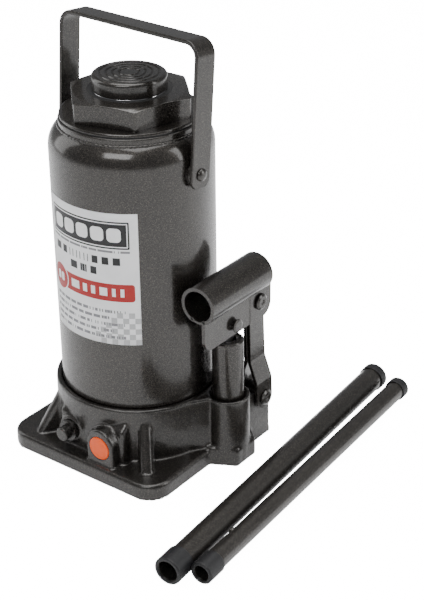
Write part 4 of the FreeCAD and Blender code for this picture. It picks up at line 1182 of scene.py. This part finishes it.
@dataclass
class BaseCasting:
    """The cast foot: the CAD solid with the soft corners of a sand casting."""

    voxel: float = 0.95 * MM
    smoothing: int = 3
    lump: float = 0.16 * MM
    seal_play: float = 0.6 * MM
    seal_run: float = 4.0 * MM
    seal_behind: float = 1.0 * MM

    def clear_of_seal(self, co: np.ndarray) -> np.ndarray:
        """Widen the release screw's bore where its seal travels.

        A point nearer the seal's axis than the seal's radius and its play moves straight
        out to that distance.

        Args:
            co: Points of the casting.

        Returns:
            The moved points.
        """
        low, high = span("release_seal")
        clear = (high[0] - low[0]) / 2 + self.seal_play
        away = (co - centre_of("release_seal")) * np.array([1.0, 0.0, 1.0])
        reach = np.maximum(np.linalg.norm(away, axis=1), 1e-6)
        along = (co[:, 1] > low[1] - self.seal_run) & (co[:, 1] < high[1] + self.seal_behind)
        near = along & (reach < clear)
        co = co.copy()
        co[near] += away[near] * (clear / reach[near] - 1)[:, None]
        return co

    def build(self) -> None:
        """Remesh a copy of the casting, soften it and dress it.

        Each point then moves along its normal by lump * n(p), where n is a sum of
        sine waves in x, y and z at unrelated pitches, and stays on or above the floor.
        """
        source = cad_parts["base_casting"]
        mesh = source.data.copy()
        work = bmesh.new()
        work.from_mesh(mesh)
        bmesh.ops.remove_doubles(work, verts=work.verts, dist=1e-6)
        work.to_mesh(mesh)
        work.free()
        obj = bpy.data.objects.new("base_cast_body", mesh)
        bpy.context.scene.collection.objects.link(obj)
        obj.data.materials.clear()
        remesh = obj.modifiers.new("even", "REMESH")
        remesh.mode = "VOXEL"
        remesh.voxel_size = self.voxel
        soften = obj.modifiers.new("soften", "SMOOTH")
        soften.factor = 0.5
        soften.iterations = self.smoothing
        graph = bpy.context.evaluated_depsgraph_get()
        baked = bpy.data.meshes.new_from_object(obj.evaluated_get(graph))
        obj.modifiers.clear()
        obj.data = baked
        count = len(baked.vertices)
        co = np.empty(count * 3)
        normal = np.empty(count * 3)
        baked.vertices.foreach_get("co", co)
        baked.vertices.foreach_get("normal", normal)
        co, normal = co.reshape(-1, 3), normal.reshape(-1, 3)
        p = co / MM
        wave = (np.sin(p[:, 0] * 0.31 + 1.7 * np.sin(p[:, 1] * 0.13))
                + np.sin(p[:, 1] * 0.37 + 1.3 * np.sin(p[:, 2] * 0.17))
                + np.sin(p[:, 2] * 0.43 + 1.1 * np.sin(p[:, 0] * 0.11))) / 3
        low, high = span("base_casting")
        inside = (np.hypot(p[:, 0], p[:, 1]) < 61.0) & (p[:, 2] > 40)
        lift = np.where(inside, 0.0, self.lump * (wave - 0.6) * 0.5)
        co = co + normal * lift[:, None]
        co = np.clip(self.clear_of_seal(co), low, high)
        baked.vertices.foreach_set("co", co.ravel())
        baked.polygons.foreach_set("use_smooth", np.ones(len(baked.polygons), bool))
        baked.update()
        settle(obj, "jack", Finish.CASTING, ("base_casting",))


@dataclass
class ReliefCover:
    """The orange cover of the relief valve, on the front of the base."""

    def build(self) -> None:
        """Build and dress the cover. The release screw keeps its CAD shape."""
        low, high = span("relief_cover_plug")
        middle = (low + high) / 2
        r = (high[0] - low[0]) / 2
        depth = high[1] - low[1]
        start = (float(middle[0]), float(high[1]), float(middle[2]))
        outline = [(0, 0), (r, 0), (r, depth - 0.0006), (r - 0.0008, depth - 0.0002),
                   (r * 0.55, depth - 0.00005), (0, depth)]
        plug = Turned("relief_cover", outline, 0.0004, start, (0.0, -1.0, 0.0), 96, False).build()
        settle(plug, "jack", Finish.ORANGE, ("relief_cover_plug",))


# ------------------------------------------------------------------ label

@dataclass
class Label:
    """The wrapped label and its printed shapes, which stand for lettering."""

    inks: dict[Finish, list[np.ndarray]] = field(default_factory=dict)
    lift: float = 0.015 * MM
    sink: float = 0.08 * MM
    film: float = 0.22 * MM
    margin: float = 6.0 * MM
    panel_height: float = 20.2 * MM
    row_pitch: float = 5.0 * MM
    check: float = 4.2 * MM
    seed: int = 7

    def __post_init__(self) -> None:
        """Take the sheet's place from the frame."""
        low, high = span("label")
        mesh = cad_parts["label"].data
        points = np.empty(len(mesh.vertices) * 3)
        mesh.vertices.foreach_get("co", points)
        x, y = points.reshape(-1, 3)[:, 0], points.reshape(-1, 3)[:, 1]
        angle = np.arctan2(y, x)
        self.radius = float(np.hypot(x, y).max())
        self.bottom, self.top = float(low[2]), float(high[2])
        self.middle = float(angle.max() + angle.min()) / 2
        self.half = float(angle.max() - angle.min()) / 2
        self.width = 2 * self.half * self.radius
        self.height = self.top - self.bottom

    def wrap(self, u: np.ndarray, v: np.ndarray, r: float) -> np.ndarray:
        """Points at u across from the middle and v up the sheet, in metres."""
        a = self.middle + u / self.radius
        return np.stack([r * np.cos(a), r * np.sin(a), self.bottom + v], axis=-1)

    def patch(self, ink: Finish, u0: float, v0: float, u1: float, v1: float,
              corner: float = 0.0, level: int = 0) -> None:
        """Add one printed shape: a rectangle with round corners.

        Rows at even heights; each row's half width loses
        corner - sqrt(corner^2 - d^2) where it is within corner of the top or bottom.

        Args:
            ink: The ink's finish.
            u0: Left edge, from the middle of the sheet.
            v0: Lower edge.
            u1: Right edge.
            v1: Upper edge.
            corner: Radius of the corners.
            level: How many other prints lie under this one.
        """
        t = (1 - np.cos(math.pi * np.linspace(0, 1, 17 if corner else 2))) / 2
        v = v0 + (v1 - v0) * t
        d = np.clip(corner - np.minimum(v - v0, v1 - v), 0, corner)
        cut = corner - np.sqrt(np.maximum(corner ** 2 - d ** 2, 0))
        cols = max(2, int((u1 - u0) / 0.002) + 1)
        s = np.linspace(0, 1, cols)[None, :]
        u = (u0 + cut)[:, None] * (1 - s) + (u1 - cut)[:, None] * s
        raised = self.radius - self.sink + self.lift * (1 + level)
        points = self.wrap(u, v[:, None] + 0 * s, raised)
        self.inks.setdefault(ink, []).append(points)

    def words(self, ink: Finish, v: float, height: float, u0: float, u1: float,
              rng: np.random.Generator, longest: float, level: int = 0) -> None:
        """A line of short bars of random length, with even gaps."""
        u = u0
        while u < u1 - longest * 0.4:
            length = min(float(rng.uniform(0.3, 1.0)) * longest, u1 - u)
            self.patch(ink, u, v, u + length, v + height, 0.0, level)
            u += length + height * 0.55

    def design(self) -> None:
        """Lay out the plain shapes: panel, bars, red band, rows of text and checks."""
        rng = np.random.default_rng(self.seed)
        w, h = self.width / 2, self.height
        edge = w - self.margin
        high = h - self.margin
        low = high - self.panel_height
        for level, (ink, inset, corner) in enumerate((
                (Finish.INK_BLACK, 0.0, 0.8 * MM), (Finish.FILM, 1.1 * MM, 0.4 * MM),
                (Finish.INK_BLACK, 1.9 * MM, 0.0))):
            self.patch(ink, -edge + inset, low + inset, edge - inset, high - inset, corner, level)
        step = (2 * edge - 0.008) / 5
        for k in range(5):
            u = -edge + 0.0045 + k * step
            self.patch(Finish.FILM, u, h - 0.0212, u + step * 0.82, h - 0.0108, 0.0030, 3)
        self.words(Finish.INK_GREY, h - 0.0292, 0.0016, -edge, edge, rng, 0.012)
        self.words(Finish.INK_BLACK, h - 0.0385, 0.0056, -0.031, 0.031, rng, 0.0075)
        self.words(Finish.INK_BLACK, h - 0.0470, 0.0056, -0.013, 0.015, rng, 0.0065)
        self.patch(Finish.INK_RED, -w + 0.013, h - 0.0662, w - 0.0035, h - 0.0528, 0.0022)
        self.patch(Finish.FILM, -w + 0.0026, h - 0.0700, -w + 0.0234, h - 0.0492, 0.0103, 1)
        self.patch(Finish.INK_RED, -w + 0.0036, h - 0.0690, -w + 0.0224, h - 0.0502, 0.0093, 2)
        self.patch(Finish.FILM, -w + 0.0085, h - 0.0628, -w + 0.0125, h - 0.0562, 0.0014, 3)
        self.patch(Finish.FILM, -w + 0.0137, h - 0.0628, -w + 0.0177, h - 0.0562, 0.0014, 3)
        self.words(Finish.FILM, h - 0.0625, 0.0062, -w + 0.027, w - 0.010, rng, 0.0080, 3)
        for row in range(5):
            v = h - 0.0755 - row * self.row_pitch
            self.words(Finish.INK_GREY, v, 0.0022, -w + 0.006, w - 0.009 - 0.010 * (row % 2), rng,
                       0.0070)
        for row in range(6):
            for col in range(8):
                if (row + col) % 2 == 0 and row + col < 9:
                    u, v = w - col * self.check, row * self.check
                    self.patch(Finish.INK_PALE, u - self.check, v, u, v + self.check)

    def sheet(self) -> bpy.types.Object:
        """The bare film: a thin closed skin bent round the tank.

        Returns:
            The sheet.
        """
        u = np.linspace(-self.width / 2, self.width / 2, 72)
        v = np.linspace(0, self.height, 12)
        uu, vv = np.meshgrid(u, v)
        outer = self.wrap(uu, vv, self.radius - self.sink)
        inner = self.wrap(uu, vv, self.radius - self.film)[::-1]
        grid = np.concatenate([outer, inner])
        rows, cols = grid.shape[:2]
        quads = grid_quads(rows, cols, True, False)
        left = np.array([[i * cols, (rows - 1 - i) * cols, (rows - 2 - i) * cols, (i + 1) * cols]
                         for i in range(rows // 2 - 1)])
        return new_object("label_sheet", grid, np.concatenate([quads, left, left + cols - 1]))

    def build(self) -> None:
        """Build the sheet and one mesh for each ink, and dress them."""
        self.design()
        settle(self.sheet(), "jack", Finish.FILM, ("label",))
        for ink, shapes in self.inks.items():
            quads, count = [], 0
            for shape in shapes:
                quads.append(grid_quads(shape.shape[0], shape.shape[1], False, False) + count)
                count += shape.shape[0] * shape.shape[1]
            points = np.concatenate([shape.reshape(-1, 3) for shape in shapes])
            obj = new_object(f"label_{ink.name.lower()}", points, np.concatenate(quads))
            settle(obj, "jack", ink)


# ------------------------------------------------------------------ handle halves

@dataclass
class HandleHalf:
    """One tube of the handle with its two end collars, on the floor."""

    name: str
    body: str
    tube_node: str
    collar_node: str
    radius: float
    wall: float
    collar: float
    length: float
    near: tuple[float, float]
    turn: float
    near_collar: float = 16.0 * MM
    far_collar: float = 8.0 * MM
    lip: float = 1.2 * MM
    tube_inset: float = 1.3 * MM

    def build(self) -> None:
        """Build and dress the tube and its collars, turned about the tube's axis."""
        angle = math.radians(self.turn)
        axis = (-math.sin(angle), math.cos(angle), 0.0)
        start = (self.near[0], self.near[1], self.collar)
        r, bore, end = self.radius, self.radius - self.wall, self.length
        first, last = self.tube_inset, end - self.tube_inset
        outline = [(bore, first), (r, first), (r, last), (bore, last)]
        tube = Turned(f"{self.name}_tube", outline, 0.0004, start, axis, 96).build()
        settle(tube, self.body, Finish.ENAMEL_TUBE, (self.tube_node,))
        for tag, low, high in (("near", 0.0, self.near_collar), ("far", end - self.far_collar, end)):
            if tag == "near":
                outline = [(bore, low), (self.collar, low), (self.collar, high), (r, high),
                           (r, low + self.lip), (bore, low + self.lip)]
            else:
                outline = [(bore, high), (bore, high - self.lip), (r, high - self.lip), (r, low),
                           (self.collar, low), (self.collar, high)]
            collar = Turned(f"{self.name}_collar_{tag}", outline, 0.0011, start, axis, 96).build()
            settle(collar, self.body, Finish.BLACK, (self.collar_node,))


# ------------------------------------------------------------------ hidden nodes

PLAIN_NODES: dict[str, Finish] = {
    "hydraulic_cylinder": Finish.BARE_STEEL,
    "ram_wiper_seal": Finish.RUBBER,
    "ram_guide_bush": Finish.BRONZE,
    "tank_top_gasket": Finish.RUBBER,
    "tank_foot_gasket": Finish.RUBBER,
    "cylinder_foot_gasket": Finish.COPPER,
    "pump_foot_gasket": Finish.COPPER,
    "ram_piston": Finish.BARE_STEEL,
    "piston_seal": Finish.RUBBER,
    "piston_ring": Finish.BARE_STEEL,
    "pump_plunger": Finish.BARE_STEEL,
    "plunger_seal": Finish.RUBBER,
    "suction_ball": Finish.POLISHED,
    "delivery_ball": Finish.POLISHED,
    "delivery_plug": Finish.BARE_STEEL,
    "suction_filter": Finish.BARE_STEEL,
    "relief_ball": Finish.POLISHED,
    "relief_spring": Finish.BARE_STEEL,
    "relief_screw": Finish.BARE_STEEL,
    "release_ball": Finish.POLISHED,
    "release_valve_screw": Finish.CASTING,
    "release_seal": Finish.RUBBER,
    "handle_upper_detent": Finish.ENAMEL_TUBE,
}


def dress_plain_nodes() -> None:
    """Give each CAD node that stays its finish."""
    for node, finish in PLAIN_NODES.items():
        workshop.dress(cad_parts[node], finish)


# ------------------------------------------------------------------ studio

@dataclass
class Studio:
    """Floor, lights, backdrop tone and camera."""

    camera_at: tuple[float, float, float] = (0.62851, -0.73193, 0.62150)
    yaw: float = 37.45
    pitch: float = 27.96
    roll: float = -0.73
    lens: float = 89.92
    floor_half: float = 6.0
    floor_drop: float = 0.2 * MM
    glow_seen: float = 16.0
    glow_cast: float = 0.16
    air_strength: float = 0.22

    def floor(self) -> None:
        """A plain pale floor just under the jack, far brighter to the camera than to the jack."""
        h = self.floor_half
        points = np.array([[-h, -h, 0], [h, -h, 0], [h, h, 0], [-h, h, 0]]) - [0, 0, self.floor_drop]
        obj = new_object("studio_floor", points, np.array([[0, 1, 2, 3]]))
        r = Recipe("studio_floor_white")
        tone = r.ramp(r.noise(3.0, 2.0), 0.2, 0.8)
        white = r.blend(tone, rgb(0.92, 0.92, 0.92), rgb(0.94, 0.94, 0.94))
        seen = r.add("ShaderNodeLightPath").outputs["Is Camera Ray"]
        r.feed(Base_Color=white, Roughness=0.9, Emission_Color=white,
               Emission_Strength=r.math("MULTIPLY_ADD", seen, self.glow_seen, self.glow_cast))
        obj.data.materials.append(r.material)

    def light(self, name: str, at: tuple[float, float, float], aim: tuple[float, float, float],
              size: tuple[float, float], power: float) -> None:
        """One soft box.

        Args:
            name: The light's name.
            at: Its place.
            aim: The point it faces.
            size: Its width and height.
            power: Its power in watts.
        """
        data = bpy.data.lights.new(name, "AREA")
        data.shape = "RECTANGLE"
        data.size, data.size_y = size
        data.energy = power
        obj = bpy.data.objects.new(name, data)
        obj.location = at
        obj.rotation_euler = (Vector(aim) - Vector(at)).to_track_quat("-Z", "Y").to_euler()
        bpy.context.scene.collection.objects.link(obj)

    def camera(self) -> None:
        """The camera, from its place, its yaw, pitch and roll, and its lens."""
        yaw, pitch = math.radians(self.yaw), math.radians(self.pitch)
        look = Vector((-math.sin(yaw) * math.cos(pitch), math.cos(yaw) * math.cos(pitch),
                       -math.sin(pitch)))
        right = Vector((math.cos(yaw), math.sin(yaw), 0.0))
        up = right.cross(look)
        c, s = math.cos(math.radians(self.roll)), math.sin(math.radians(self.roll))
        right2 = right * c + up * s
        up2 = up * c - right * s
        data = bpy.data.cameras.new("camera")
        data.lens = self.lens
        data.sensor_width = 36.0
        data.clip_start = 0.01
        obj = bpy.data.objects.new("camera", data)
        matrix = Matrix((right2, up2, -look)).transposed().to_4x4()
        matrix.translation = Vector(self.camera_at)
        obj.matrix_world = matrix
        bpy.context.scene.collection.objects.link(obj)
        bpy.context.scene.camera = obj

    def build(self) -> None:
        """Set the whole studio up."""
        self.floor()
        self.camera()
        self.light("key_box", (0.35, -1.1, 1.25), (0.0, 0.0, 0.18), (0.9, 0.5), 9.0)
        self.light("left_box", (-1.5, -0.4, 0.8), (0.0, 0.0, 0.15), (0.8, 1.4), 7.0)
        self.light("right_box", (1.5, 0.7, 0.8), (0.0, 0.0, 0.15), (0.7, 1.4), 12.0)
        self.light("top_box", (0.0, 0.2, 1.9), (0.0, 0.0, 0.0), (1.8, 1.8), 40.0)
        world = bpy.data.worlds.new("studio_air")
        world.use_nodes = True
        world.node_tree.nodes["Background"].inputs["Color"].default_value = rgb(0.9, 0.92, 0.95)
        world.node_tree.nodes["Background"].inputs["Strength"].default_value = self.air_strength
        bpy.context.scene.world = world


def main() -> None:
    """Build every sub-assembly in order."""
    logging.basicConfig(level=logging.INFO, format="%(name)s: %(message)s")
    Studio().build()
    dress_plain_nodes()
    BaseCasting().build()
    OilTank().build()
    GlandNut().build()
    RamAndSaddle().build()
    CarryBail().build()
    pump = Pump()
    pump.build()
    Link().build(pump.x)
    ReliefCover().build()
    Label().build()
    HandleHalf("wide", "handle_lower", "handle_lower_tube", "handle_lower_collars",
               radius=9.2 * MM, wall=1.7 * MM, collar=10.2 * MM, length=293.0 * MM,
               near=(131.5 * MM, -134.7 * MM), turn=4.3).build()
    HandleHalf("slim", "handle_upper", "handle_upper_tube", "handle_upper_collars",
               radius=7.3 * MM, wall=1.6 * MM, collar=8.3 * MM, length=278.0 * MM,
               near=(148.9523 * MM, -121.5 * MM), turn=3.4).build()


if __name__ == "__main__":
    main()
